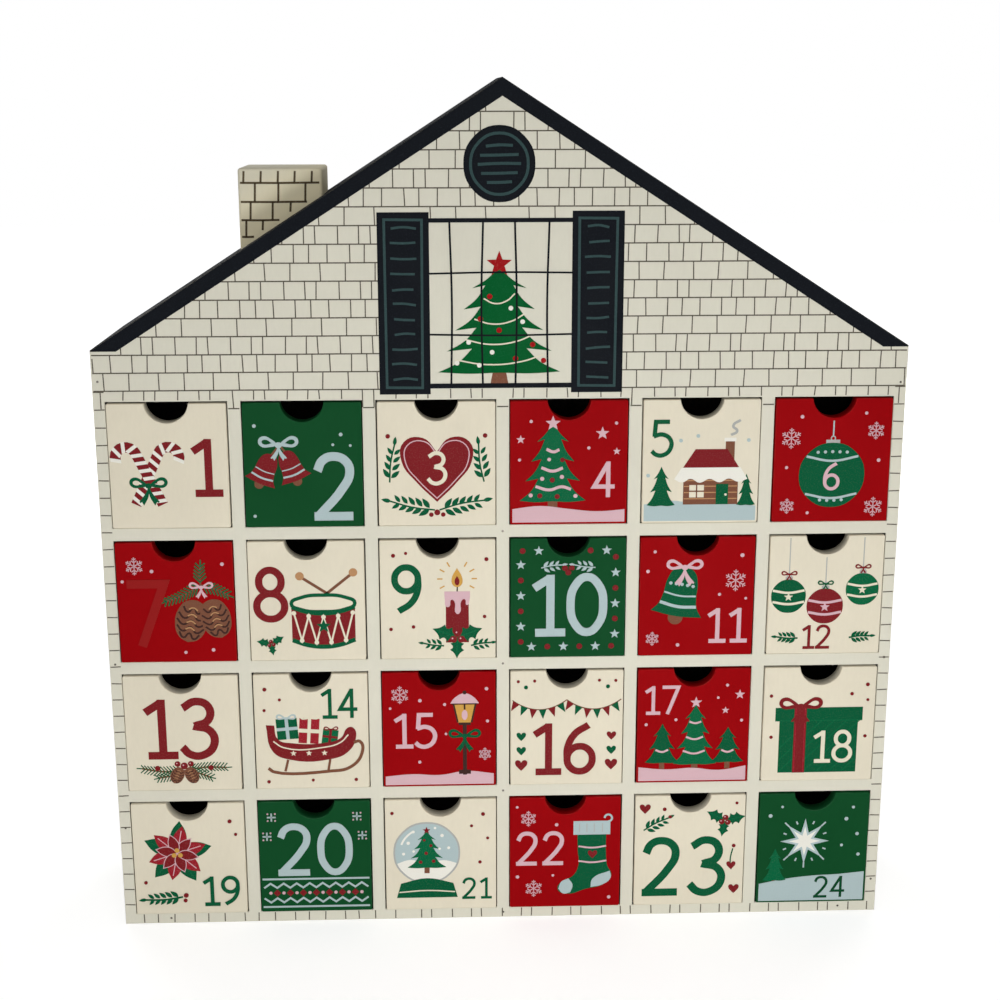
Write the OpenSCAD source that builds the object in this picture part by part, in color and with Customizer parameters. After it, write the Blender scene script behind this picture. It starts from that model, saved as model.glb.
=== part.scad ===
// Advent calendar in the shape of a wooden house: 24 drawers with finger notches in a nailed carcass.
// The front faces -Y, +Z is up, and the origin is the middle of the house's footprint.

/* [Drawer openings] */
// Width of each opening in the face panel
opening_w = 52; // [44:0.5:64]
// Height of each opening in the face panel
opening_h = 56; // [46:0.5:68]
// Thickness of the bars between the openings, and of the uprights and shelves behind them
bar_t = 5.6; // [4:0.2:9]

/* [House] */
// Depth of the house from the face to the back
house_depth = 75; // [60:1:120]
// Thickness of the side boards and the floor board
wall_t = 5; // [4:0.5:9]
// Thickness of the face panel
face_t = 5; // [3:0.5:8]
// Thickness of the back panel
back_t = 3; // [2:0.5:6]
// Height of the eaves above the top deck
eave_rise = 16.6; // [12:0.2:40]
// Height of the ridge above the eaves
gable_h = 112; // [80:1:160]
// Thickness of the roof boards, square to their slope
roof_t = 5; // [4:0.5:8]

/* [Chimney] */
// Width of the chimney
chimney_w = 36; // [24:1:44]
// Depth of the chimney
chimney_d = 35; // [24:1:50]
// Distance of the chimney's middle from the ridge line
chimney_from_ridge = 94.2; // [60:0.2:110]
// Height of the chimney's short side above the roof
chimney_short_h = 11.5; // [8:0.5:20]
// Radius of the chimney's rounded edges
chimney_edge_r = 1.6; // [1:0.1:3.5]

/* [Drawers] */
// Thickness of the drawer fronts
front_t = 7; // [5.5:0.5:10]
// How far the drawer fronts stand out of the face
front_proud = 1; // [0:0.2:3]
// Clearance at each side of a drawer
side_gap = 0.5; // [0.3:0.1:0.9]
// Clearance below a drawer
floor_gap = 0.3; // [0.2:0.1:0.6]
// Clearance above a drawer front
top_gap = 0.7; // [0.4:0.1:1.2]
// Clearance between a drawer box and the back panel
back_gap = 0.3; // [0.2:0.1:0.8]
// Radius of the finger notch
notch_r = 9.5; // [7:0.5:14]
// Height of the notch's centre above the front's top edge
notch_rise = 1; // [0.5:0.1:2]
// Thickness of the drawer box's sides and back
box_wall_t = 2.5; // [1.5:0.1:4]
// Thickness of the drawer box's bottom
box_floor_t = 2.5; // [1.5:0.1:4]
// How far the drawer box's rim lies below the front's top edge
box_rim_drop = 4; // [2:0.5:10]

/* [Brads] */
// Radius of a brad
brad_r = 0.5; // [0.4:0.05:0.8]
// Length of a brad that holds the face panel
front_brad_l = 18; // [12:1:24]
// Length of a brad that holds the back panel
back_brad_l = 12; // [9:1:18]
// How far the brads are set below the surface
brad_sink = 0.2; // [0.1:0.05:0.5]
// Clearance around a brad in its hole
brad_gap = 0.02; // [0.01:0.01:0.05]

/* [Hidden] */
columns = 6;
rows = 4;
count = columns * rows;

// Clearance on each face of a half-lap between an upright and a shelf
lap_gap = 0.1;
// Glue line between the boards of a drawer box
glue_gap = 0.05;
// Overrun of a cut past the face that it leaves
over = 1;
round_fn = 48;
brad_fn = 16;
edge_fn = 32;

house_w = 2 * wall_t + columns * opening_w + (columns - 1) * bar_t;
half_w = house_w / 2;
inner_half_w = half_w - wall_t;
pitch_x = opening_w + bar_t;
pitch_z = opening_h + bar_t;
upright_h = rows * opening_h + (rows - 1) * bar_t;
deck_z = wall_t + upright_h;
eave_z = deck_z + bar_t + eave_rise;
ridge_z = eave_z + gable_h;

slope = gable_h / half_w;
slope_angle = atan(slope);
roof_drop = roof_t / cos(slope_angle);

face_y = -house_depth / 2;
carcass_front_y = face_y + face_t;
back_y = house_depth / 2;
carcass_back_y = back_y - back_t;
carcass_mid_y = (carcass_front_y + carcass_back_y) / 2;

front_w = opening_w - 2 * side_gap;
front_h = opening_h - floor_gap - top_gap;
front_y = face_y - front_proud;
box_front_y = front_y + front_t;
box_back_y = carcass_back_y - back_gap;
box_h = front_h - box_rim_drop;

// Height of the roof's outer surface, or of the roof boards' underside, at a distance from the ridge line
function roof_z(x) = ridge_z - slope * abs(x);
function roof_under_z(x) = roof_z(x) - roof_drop;

// Left edge of a column and lower edge of a row, both counted from the top left
function column_x(c) = -inner_half_w + c * pitch_x;
function row_z(r) = wall_t + (rows - 1 - r) * pitch_z;
// Middle of the upright to the right of a column, and of the shelf below a row
function upright_x(c) = column_x(c) + opening_w + bar_t / 2;
function shelf_z(r) = row_z(r) - bar_t / 2;

// How each drawer sits sideways in its clearance, as a share of it: -1 is hard left and 1 is hard right
seat_shares = [
    -0.3, 0.2, 0.5, -0.2, 0.1, 0.3,
    0.2, -0.4, 0.1, 0.4, -0.3, -0.1,
    -0.5, 0.3, -0.1, 0.2, 0.4, -0.2,
    0.1, -0.2, 0.3, -0.4, 0.2, 0.4
];
// The seat of a drawer keeps this share of the side clearance free
seat_free_share = 0.4;
function seat_shift(n) = seat_shares[n - 1] * side_gap * (1 - seat_free_share);

function drawer_column(n) = (n - 1) % columns;
function drawer_row(n) = floor((n - 1) / columns);
function drawer_x(n) = column_x(drawer_column(n)) + side_gap + seat_shift(n);
function drawer_z(n) = row_z(drawer_row(n)) + floor_gap;

// Heights of the brads in the side boards as shares of the eaves' height, and their places along the
// floor board and along each roof slope from the ridge as shares of the half width
left_brad_shares = [0.18, 0.475, 0.95];
right_brad_shares = [0.06, 0.47, 0.94];
floor_brad_shares = [-0.88, 0, 0.9];
left_roof_brad_shares = [0.13, 0.775];
right_roof_brad_shares = [0.15, 0.825];

function side_brads() = [
    for (s = left_brad_shares) [-half_w + wall_t / 2, s * eave_z],
    for (s = right_brad_shares) [half_w - wall_t / 2, s * eave_z]
];
function floor_brads() = [for (s = floor_brad_shares) [s * half_w, wall_t / 2]];
function roof_brad(s) = [s * half_w, roof_z(s * half_w) - roof_drop / 2];
function roof_brads() = [
    for (s = left_roof_brad_shares) roof_brad(-s),
    for (s = right_roof_brad_shares) roof_brad(s)
];
// The middle upright is nailed where each shelf crosses it
function crossing_brads() = [for (r = [0 : rows - 2]) [upright_x(columns / 2 - 1), shelf_z(r)]];
function shell_brads() = concat(side_brads(), floor_brads(), roof_brads());
function front_brad_places() = concat(shell_brads(), crossing_brads());

function two_digits(n) = str(n < 10 ? "0" : "", n);
function front_node(n) = str("drawer_", two_digits(n), "_front");
function box_node(n) = str("drawer_", two_digits(n), "_box");

// A board from its outline as seen from the front, between two depths
module board(y0, y1) {
    translate([0, y1, 0]) rotate([90, 0, 0]) linear_extrude(y1 - y0) children();
}

// A rod along the depth at each place
module rods(places, r, y0, y1) {
    for (p = places) translate([p[0], y1, p[1]]) rotate([90, 0, 0]) cylinder(r = r, h = y1 - y0, $fn = brad_fn);
}

module front_brad_holes() {
    rods(front_brad_places(), brad_r + brad_gap, face_y - over, face_y + brad_sink + front_brad_l);
}

module back_brad_holes() {
    rods(shell_brads(), brad_r + brad_gap, back_y - brad_sink - back_brad_l, back_y + over);
}

module house_outline() {
    polygon([
        [-half_w, 0], [half_w, 0], [half_w, eave_z], [0, ridge_z], [-half_w, eave_z]
    ]);
}

module openings_outline() {
    for (r = [0 : rows - 1], c = [0 : columns - 1])
        translate([column_x(c), row_z(r)]) square([opening_w, opening_h]);
}

module face_panel() {
    color([0.82, 0.81, 0.75])
    difference() {
        board(face_y, carcass_front_y) difference() {
            house_outline();
            openings_outline();
        }
        front_brad_holes();
    }
}

module back_panel() {
    color([0.78, 0.76, 0.69])
    difference() {
        board(carcass_back_y, back_y) house_outline();
        back_brad_holes();
    }
}

// A side board reaches up to the underside of its roof board
module side_outline() {
    polygon([
        [-half_w, 0], [-inner_half_w, 0], [-inner_half_w, roof_under_z(inner_half_w)],
        [-half_w, roof_under_z(half_w)]
    ]);
}

module left_side() {
    color([0.80, 0.79, 0.72])
    difference() {
        board(carcass_front_y, carcass_back_y) side_outline();
        front_brad_holes();
        back_brad_holes();
    }
}

module right_side() {
    color([0.80, 0.79, 0.72])
    difference() {
        board(carcass_front_y, carcass_back_y) mirror([1, 0]) side_outline();
        front_brad_holes();
        back_brad_holes();
    }
}

module floor_board() {
    color([0.74, 0.66, 0.52])
    difference() {
        board(carcass_front_y, carcass_back_y)
            translate([-inner_half_w, 0]) square([2 * inner_half_w, wall_t]);
        front_brad_holes();
        back_brad_holes();
    }
}

// A roof board is cut plumb at the eaves, flush with its side board, and meets the other at the ridge
module roof_outline() {
    polygon([
        [-half_w, roof_under_z(half_w)], [0, roof_under_z(0)], [0, ridge_z], [-half_w, eave_z]
    ]);
}

module roof_left() {
    color([0.10, 0.11, 0.13])
    difference() {
        board(carcass_front_y, carcass_back_y) roof_outline();
        front_brad_holes();
        back_brad_holes();
    }
}

module roof_right() {
    color([0.10, 0.11, 0.13])
    difference() {
        board(carcass_front_y, carcass_back_y) mirror([1, 0]) roof_outline();
        front_brad_holes();
        back_brad_holes();
    }
}

// The uprights stand on the floor board and are slotted from the front, one slot for each shelf
module uprights() {
    color([0.30, 0.26, 0.22])
    difference() {
        for (c = [0 : columns - 2])
            translate([upright_x(c) - bar_t / 2, carcass_front_y, wall_t])
                cube([bar_t, carcass_back_y - carcass_front_y, upright_h]);
        for (r = [0 : rows - 2])
            translate([-inner_half_w, carcass_front_y - over, shelf_z(r) - bar_t / 2 - lap_gap])
                cube([
                    2 * inner_half_w,
                    carcass_mid_y + lap_gap - carcass_front_y + over,
                    bar_t + 2 * lap_gap
                ]);
    }
}

// The shelves run from side to side and are slotted from the back; the deck above the top row is plain
module shelves() {
    color([0.34, 0.30, 0.25]) {
        difference() {
            for (r = [0 : rows - 2])
                translate([-inner_half_w, carcass_front_y, shelf_z(r) - bar_t / 2])
                    cube([2 * inner_half_w, carcass_back_y - carcass_front_y, bar_t]);
            for (c = [0 : columns - 2])
                translate([upright_x(c) - bar_t / 2 - lap_gap, carcass_mid_y - lap_gap, wall_t])
                    cube([bar_t + 2 * lap_gap, carcass_back_y - carcass_mid_y + lap_gap + over, upright_h]);
            front_brad_holes();
        }
        translate([-inner_half_w, carcass_front_y, deck_z])
            cube([2 * inner_half_w, carcass_back_y - carcass_front_y, bar_t]);
    }
}

// A solid block with rounded edges and a foot cut to the slope of the left roof board
module chimney() {
    left_x = -chimney_from_ridge - chimney_w / 2;
    right_x = left_x + chimney_w;
    top_z = roof_z(right_x) + chimney_short_h;
    low_z = roof_z(left_x) - chimney_edge_r;
    color([0.74, 0.72, 0.64])
    difference() {
        hull()
            for (x = [left_x + chimney_edge_r, right_x - chimney_edge_r],
                 y = [-chimney_d / 2 + chimney_edge_r, chimney_d / 2 - chimney_edge_r],
                 z = [low_z, top_z - chimney_edge_r])
                translate([x, y, z]) sphere(r = chimney_edge_r, $fn = edge_fn);
        board(face_y, back_y)
            polygon([[-half_w, 0], [0, 0], [0, ridge_z], [-half_w, eave_z]]);
    }
}

module front_brads() {
    color([0.55, 0.55, 0.53])
    rods(front_brad_places(), brad_r, face_y + brad_sink, face_y + brad_sink + front_brad_l);
}

module back_brads() {
    color([0.55, 0.55, 0.53])
    rods(shell_brads(), brad_r, back_y - brad_sink - back_brad_l, back_y - brad_sink);
}

// The ground colour of each drawer front: cream, red or green
cream = [0.87, 0.82, 0.74];
red = [0.60, 0.05, 0.07];
green = [0.07, 0.28, 0.15];
grounds = [
    cream, green, cream, red, cream, red,
    red, cream, cream, green, red, cream,
    cream, cream, red, cream, red, cream,
    cream, green, cream, red, cream, green
];

module drawer_front(n) {
    color(grounds[n - 1])
    board(front_y, box_front_y)
        translate([drawer_x(n), drawer_z(n)])
            difference() {
                square([front_w, front_h]);
                translate([front_w / 2, front_h + notch_rise]) circle(r = notch_r, $fn = round_fn);
            }
}

// Two sides with a back and a bottom glued between them, set against the front
module drawer_box(n) {
    inner_x = box_wall_t + glue_gap;
    inner_w = front_w - 2 * inner_x;
    length = box_back_y - box_front_y;
    back_face_y = length - box_wall_t;
    color([0.16, 0.14, 0.12])
    translate([drawer_x(n), box_front_y, drawer_z(n)]) {
        for (x = [0, front_w - box_wall_t]) translate([x, 0, 0]) cube([box_wall_t, length, box_h]);
        translate([inner_x, back_face_y, 0]) cube([inner_w, box_wall_t, box_h]);
        translate([inner_x, 0, 0]) cube([inner_w, back_face_y - glue_gap, box_floor_t]);
    }
}

face_panel();
back_panel();
left_side();
right_side();
floor_board();
roof_left();
roof_right();
uprights();
shelves();
chimney();
front_brads();
back_brads();
for (n = [1 : count]) {
    drawer_front(n);
    drawer_box(n);
}
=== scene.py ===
# %% [markdown]
# # A wooden advent calendar
# The real object is a cabinet in the shape of a gabled house. A front board with 24 square
# windows hides a crate of thin dividers, and a small wooden drawer slides in each cell.
# The joiner's drawing is loaded first, and every board made below goes where it says.

# %% Load the frame
import math
import random

import bmesh
import bpy
from mathutils import Matrix, Vector


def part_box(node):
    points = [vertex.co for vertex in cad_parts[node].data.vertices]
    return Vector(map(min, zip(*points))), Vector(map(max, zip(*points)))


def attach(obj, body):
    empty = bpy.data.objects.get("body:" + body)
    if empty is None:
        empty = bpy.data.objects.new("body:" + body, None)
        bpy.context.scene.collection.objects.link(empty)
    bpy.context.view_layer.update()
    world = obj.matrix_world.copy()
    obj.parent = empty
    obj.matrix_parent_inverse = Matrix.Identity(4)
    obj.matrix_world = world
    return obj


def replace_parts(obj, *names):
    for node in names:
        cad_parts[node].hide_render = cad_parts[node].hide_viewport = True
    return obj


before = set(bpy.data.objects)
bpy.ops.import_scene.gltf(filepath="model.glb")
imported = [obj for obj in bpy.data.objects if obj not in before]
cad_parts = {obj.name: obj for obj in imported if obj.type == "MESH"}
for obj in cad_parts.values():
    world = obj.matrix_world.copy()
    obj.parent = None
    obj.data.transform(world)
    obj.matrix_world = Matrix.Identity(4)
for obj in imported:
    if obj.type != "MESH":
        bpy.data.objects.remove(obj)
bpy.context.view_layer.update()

# %% [markdown]
# ## The camera
# The picture was taken from 72 cm in front of the house, just under the height of the apex
# and an inch to the left of it, through a 58 mm lens. A camera can be moved by hand until it
# seems to fit, but its place is surer when it is worked out from the corners of the house.
# A camera looks down its own -Z axis. So it is leaned by a hair about that axis, then tipped
# up by a right angle, less the slope at which it looks down, and at last turned about the
# vertical.

# %% Camera
MM = 0.001
CAMERA_PLACE = Vector((-25.507, -719.58, 373.674)) * MM
LOOKS_DOWN = 0.2477
TURNS = -0.0356
LEANS = -0.0012
FOCAL_LENGTH = 58
FILM_WIDTH = 36
PICTURE_DOTS = 1000


def new_object(name, data):
    """An object that holds the data, put in the scene."""
    made = bpy.data.objects.new(name, data)
    bpy.context.scene.collection.objects.link(made)
    return made


lens = bpy.data.cameras.new("photo_camera")
lens.lens = FOCAL_LENGTH
lens.sensor_width = FILM_WIDTH
lens.clip_start = 0.01
camera = new_object("photo_camera", lens)
camera.matrix_world = (
    Matrix.Translation(CAMERA_PLACE)
    @ Matrix.Rotation(TURNS, 4, "Z")
    @ Matrix.Rotation(math.pi / 2 - LOOKS_DOWN, 4, "X")
    @ Matrix.Rotation(LEANS, 4, "Z")
)
bpy.context.scene.camera = camera


def seen_at(x, y, z):
    """Where a point in millimetres falls in the picture, in dots from its upper left."""
    point = camera.matrix_world.inverted() @ (Vector((x, y, z)) * MM)
    dots = PICTURE_DOTS * FOCAL_LENGTH / FILM_WIDTH
    middle = PICTURE_DOTS / 2
    return round(middle - dots * point.x / point.z, 1), round(middle + dots * point.y / point.z, 1)


print("apex", seen_at(0, -37.5, 380), "foot", seen_at(-175, -37.5, 0), seen_at(175, -37.5, 0))

# %% [markdown]
# ## The lamps
# A product table. Small lamps would throw hard shadows, which the photograph doesn't show,
# so the lamps are wide discs. A soft one stands low and near, since the photograph is
# brightest at the foot. A broad one stands behind it, a weak one hangs above, and two light
# the back. Their powers are set so that, with the sky below, a paint looks about as mixed.

# %% Lamps
# Where each one stands, where it points, its width in metres and its power in watts
LAMPS = {
    "near_lamp": ((0.06, -0.54, 0.05), (0.04, 0, 0.06), 0.26, 1.9),
    "broad_lamp": ((-0.3, -1.5, 0.42), (0, 0, 0.15), 1.1, 4.8),
    "top_lamp": ((0.1, -0.2, 1.7), (0, 0, 0.2), 0.9, 0.6),
    "left_lamp": ((-0.8, 1.2, 0.55), (0, 0, 0.17), 0.9, 6.5),
    "right_lamp": ((0.8, 1.2, 0.55), (0, 0, 0.17), 0.9, 6.5),
}
for lamp_name, (place, target, width, power) in LAMPS.items():
    lamp = bpy.data.lights.new(lamp_name, "AREA")
    lamp.shape = "DISK"
    lamp.size = width
    lamp.energy = power
    stand = new_object(lamp_name, lamp)
    stand.location = place
    stand.visible_camera = False
    aim = Vector(target) - Vector(place)
    stand.rotation_euler = aim.to_track_quat("-Z", "Y").to_euler()
print("lamps", list(LAMPS))

# %% [markdown]
# ## Working with nodes
# A paint in Blender is a little net of nodes, boxes whose sockets take a plain value or a
# wire from another box. Written out one by one, each box takes several lines. So one helper
# feeds sockets, one puts in a box, one does a sum and one starts a new paint.

# %% Node helpers
def feed(tree, target, sockets):
    """Gives sockets, by name or number, a plain value or a wire from another node."""
    for socket, value in sockets.items():
        if isinstance(value, bpy.types.NodeSocket):
            tree.links.new(value, target.inputs[socket])
        else:
            target.inputs[socket].default_value = value


def add_node(tree, kind, sockets=None, **settings):
    made = tree.nodes.new("ShaderNode" + kind)
    for setting, value in settings.items():
        setattr(made, setting, value)
    feed(tree, made, sockets or {})
    return made


def math_node(tree, operation, *values, clamp=False):
    made = add_node(tree, "Math", dict(enumerate(values)), operation=operation, use_clamp=clamp)
    return made.outputs[0]


def start_finish(name):
    finish = bpy.data.materials.new(name)
    finish.use_nodes = True
    tree = finish.node_tree
    return finish, tree, tree.nodes["Principled BSDF"]


print("node helpers ready")

# %% [markdown]
# ## Sky and floor
# The sky lights everything evenly. The floor is pale paper, and what the camera sees of it
# is lifted to white, more so further out, while the shadow at the foot of the house stays.
# White paper would throw too much light up at the house, but this lift lights nothing,
# because only the camera, a reflection and a look through glass can see it.

# %% Sky and floor
WHITE = (1, 1, 1, 1)
SKY = 0.36
FLOOR_PAINT = 0.7
FLOOR_REACH = 4
LIFT_NEAR = 0.6
LIFT_FAR = 0.86
LIFT_STARTS = 0.3
LIFT_ENDS = 1.2


def seen_directly(tree):
    """1 where the camera, a reflection or a look through glass sees the surface."""
    rays = add_node(tree, "LightPath").outputs
    straight = math_node(tree, "MAXIMUM", rays["Is Camera Ray"], rays["Is Glossy Ray"])
    return math_node(tree, "MAXIMUM", straight, rays["Is Transmission Ray"])


world = bpy.data.worlds.new("studio_sky")
bpy.context.scene.world = world
world.use_nodes = True
tree = world.node_tree
even = tree.nodes["Background"]
feed(tree, even, {"Color": WHITE, "Strength": SKY})
white = add_node(tree, "Background", {"Color": WHITE, "Strength": 1})
seen_sky = {0: seen_directly(tree), 1: even.outputs[0], 2: white.outputs[0]}
pick = add_node(tree, "MixShader", seen_sky)
feed(tree, tree.nodes["World Output"], {"Surface": pick.outputs[0]})

floor_paper, tree, paper = start_finish("floor_paper")
paper_colour = (FLOOR_PAINT, FLOOR_PAINT, FLOOR_PAINT, 1)
feed(tree, paper, {"Base Color": paper_colour, "Roughness": 0.9, "Specular IOR Level": 0})
place = add_node(tree, "TexCoord").outputs["Object"]
away = add_node(tree, "VectorMath", {0: place}, operation="LENGTH").outputs["Value"]
reaches = {"From Min": LIFT_STARTS, "From Max": LIFT_ENDS, "To Min": LIFT_NEAR, "To Max": LIFT_FAR}
lift = add_node(tree, "MapRange", {"Value": away, **reaches}, interpolation_type="SMOOTHSTEP")
glow = add_node(tree, "Emission", {"Strength": lift.outputs["Result"]})
both = add_node(tree, "AddShader", {0: paper.outputs[0], 1: glow.outputs[0]})
seen_paper = {0: seen_directly(tree), 1: paper.outputs[0], 2: both.outputs[0]}
pick = add_node(tree, "MixShader", seen_paper)
feed(tree, tree.nodes["Material Output"], {"Surface": pick.outputs[0]})

sheet = bmesh.new()
bmesh.ops.create_grid(sheet, x_segments=1, y_segments=1, size=FLOOR_REACH)
floor_sheet = bpy.data.meshes.new("floor")
sheet.to_mesh(floor_sheet)
sheet.free()
floor_sheet.materials.append(floor_paper)
floor = new_object("floor", floor_sheet)
bpy.context.scene.view_settings.view_transform = "Standard"
print("floor", floor.dimensions[:])

# %% [markdown]
# ## Effects that several paints share
# A painted board is never one flat colour. The brush leaves a faint cloudiness, the fibres
# of the wood lift the surface in fine ridges, and along the corners the paint is thin. A
# picture of wood could be laid on, but noise stays sharp however near the camera comes. Each
# effect is a node group with plain inputs, so every paint can set its own amount of it.

# %% Nodes that every paint is made of
def times(tree, first, second, clamp=False):
    return math_node(tree, "MULTIPLY", first, second, clamp=clamp)


def noise(tree, vector, scale, detail, rough=0.5):
    sockets = {"Vector": vector, "Scale": scale, "Detail": detail, "Roughness": rough}
    return add_node(tree, "TexNoise", sockets).outputs["Fac"]


def ramp(tree, value, low, high):
    """Spreads the part of a value between low and high over 0 to 1."""
    sockets = {"Value": value, "From Min": low, "From Max": high}
    return add_node(tree, "MapRange", sockets).outputs["Result"]


def blend_colours(tree, factor, first, second):
    sockets = {"Factor": factor, 6: first, 7: second}
    return add_node(tree, "Mix", sockets, data_type="RGBA").outputs[2]


def place_on_object(tree, stretch=(1, 1, 1)):
    """Object coordinates, squeezed along the way that a grain runs."""
    place = add_node(tree, "TexCoord").outputs["Object"]
    return add_node(tree, "Mapping", {"Vector": place, "Scale": stretch}).outputs["Vector"]


def new_group(name, inputs, outputs):
    """An empty node group, its inputs given with a value each and its outputs by name."""
    group = bpy.data.node_groups.new(name, "ShaderNodeTree")
    for label, value in inputs.items():
        kind = "NodeSocketColor" if isinstance(value, tuple) else "NodeSocketFloat"
        socket = group.interface.new_socket(label, in_out="INPUT", socket_type=kind)
        socket.default_value = value
    for label in outputs:
        kind = "NodeSocketColor" if label == "Color" else "NodeSocketFloat"
        group.interface.new_socket(label, in_out="OUTPUT", socket_type=kind)
    given = group.nodes.new("NodeGroupInput").outputs
    return group, given, group.nodes.new("NodeGroupOutput")


print("paint nodes ready")

# %% Brushed paint, worn corners and specks in the ink
def make_brushed_paint():
    """Cloudy colour and the low ridges of fibres under a coat of paint."""
    inputs = {"Paint": (0.8, 0.8, 0.8, 1), "Shade": (0.5, 0.5, 0.5, 1), "Cloud": 0.3, "Dullness": 0.55}
    tree, given, result = new_group("brushed_paint", inputs, ("Color", "Height", "Roughness"))
    here = place_on_object(tree)
    cloud = ramp(tree, noise(tree, here, 30, 4), 0.35, 0.7)
    fibre = noise(tree, place_on_object(tree, (1, 1, 0.3)), 900, 3, 0.6)
    speck = noise(tree, here, 1600, 2)
    streak = ramp(tree, fibre, 0.35, 0.75)
    mottle = math_node(tree, "MULTIPLY_ADD", cloud, 0.6, times(tree, streak, 0.4))
    amount = times(tree, mottle, given["Cloud"], clamp=True)
    feed(tree, result, {
        "Color": blend_colours(tree, amount, given["Paint"], given["Shade"]),
        "Height": math_node(tree, "MULTIPLY_ADD", fibre, 0.6, times(tree, speck, 0.4)),
        "Roughness": math_node(tree, "MULTIPLY_ADD", cloud, 0.12, given["Dullness"]),
    })
    return tree


def make_worn_corners():
    """A broken mask on the rounded corners, where a face looks along no axis."""
    tree, given, result = new_group("worn_corners", {"Amount": 0.5}, ("Mask",))
    surface = add_node(tree, "TexCoord").outputs
    facing = add_node(tree, "SeparateXYZ", {0: surface["Normal"]}).outputs
    front = math_node(tree, "ABSOLUTE", facing["Y"])
    corner = times(tree, ramp(tree, front, 0.97, 0.85), ramp(tree, front, 0.1, 0.3), clamp=True)
    patches = ramp(tree, noise(tree, surface["Object"], 160, 3), 0.35, 0.62)
    broken = times(tree, corner, patches, clamp=True)
    feed(tree, result, {"Mask": times(tree, broken, given["Amount"])})
    return tree


def make_ink_specks():
    """The fine pinholes that a silk screen leaves in printed ink."""
    inputs = {"Ink": (0.5, 0.1, 0.1, 1), "Ground": (0.8, 0.8, 0.7, 1), "Amount": 0.4}
    tree, given, result = new_group("ink_specks", inputs, ("Color", "Height", "Roughness"))
    here = place_on_object(tree)
    pin = ramp(tree, noise(tree, here, 1900, 2, 0.6), 0.52, 0.72)
    thin = ramp(tree, noise(tree, here, 60, 3), 0.35, 0.75)
    uneven = times(tree, pin, math_node(tree, "MULTIPLY_ADD", thin, 0.35, 0.65))
    showing = times(tree, uneven, given["Amount"], clamp=True)
    feed(tree, result, {
        "Color": blend_colours(tree, showing, given["Ink"], given["Ground"]),
        "Height": noise(tree, here, 700, 3),
        "Roughness": math_node(tree, "MULTIPLY_ADD", thin, 0.15, 0.5),
    })
    return tree


BRUSHED = make_brushed_paint()
WORN = make_worn_corners()
SPECKS = make_ink_specks()
print("groups", [group.name for group in bpy.data.node_groups])

# %% [markdown]
# ## The paints
# The colours are written as a painter would read them off a swatch, from 0 to 255, and are
# turned into the linear values that the renderer works with. A board's paint has its cloud,
# its fibres and its worn corners. An ink has pinholes, through which the ground shows.

# %% Paint makers
SHADE = 0.72
FAINT_SHINE = 0.03


def swatch(*colour):
    """A colour from 0 to 255 as the renderer's linear values."""
    linear = []
    for part in colour:
        share = part / 255
        linear.append(share / 12.92 if share <= 0.04045 else ((share + 0.055) / 1.055) ** 2.4)
    return (*linear, 1)


def shade_of(colour, share):
    return (*[part * share for part in colour[:3]], 1)


def add_bump(tree, shader, height, strength, depth):
    bump = add_node(tree, "Bump", {"Height": height, "Strength": strength, "Distance": depth * MM})
    feed(tree, shader, {"Normal": bump.outputs["Normal"]})


def board_paint(name, colour, cloud=0.25, bare=(200, 178, 142), wear=0.25, dull=0.55):
    finish, tree, shader = start_finish(name)
    mix = {"Paint": colour, "Shade": shade_of(colour, SHADE), "Cloud": cloud, "Dullness": dull}
    coat = add_node(tree, "Group", mix, node_tree=BRUSHED, name="coat").outputs
    worn = add_node(tree, "Group", {"Amount": wear}, node_tree=WORN).outputs["Mask"]
    feed(tree, shader, {
        "Base Color": blend_colours(tree, worn, coat["Color"], swatch(*bare)),
        "Roughness": coat["Roughness"],
        "Specular IOR Level": FAINT_SHINE,
    })
    add_bump(tree, shader, coat["Height"], 0.5, 0.05)
    return finish


def ink(name, colour, ground, amount):
    finish, tree, shader = start_finish("ink_" + name)
    mix = {"Ink": swatch(*colour), "Ground": swatch(*ground), "Amount": amount}
    film = add_node(tree, "Group", mix, node_tree=SPECKS).outputs
    look = {"Base Color": film["Color"], "Roughness": film["Roughness"], "Specular IOR Level": FAINT_SHINE}
    feed(tree, shader, look)
    add_bump(tree, shader, film["Height"], 0.3, 0.03)
    return finish


print("paint makers ready")

# %% The paints of this calendar
CREAM = swatch(220, 212, 191)
HOUSE_CREAM = swatch(213, 210, 194)
RED = swatch(146, 3, 9)
GREEN = swatch(15, 70, 36)
BLACK = swatch(18, 21, 26)
STAIN = swatch(26, 21, 18)
PAINTS = {
    "cream": board_paint("drawer_cream", CREAM),
    "red": board_paint("drawer_red", RED, 0.3, (176, 60, 52), 0.3),
    "green": board_paint("drawer_green", GREEN, 0.3, (60, 110, 76), 0.3),
    "roof": board_paint("roof_black", BLACK, 0.3, (40, 44, 50), 0.3, 0.85),
}
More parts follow.
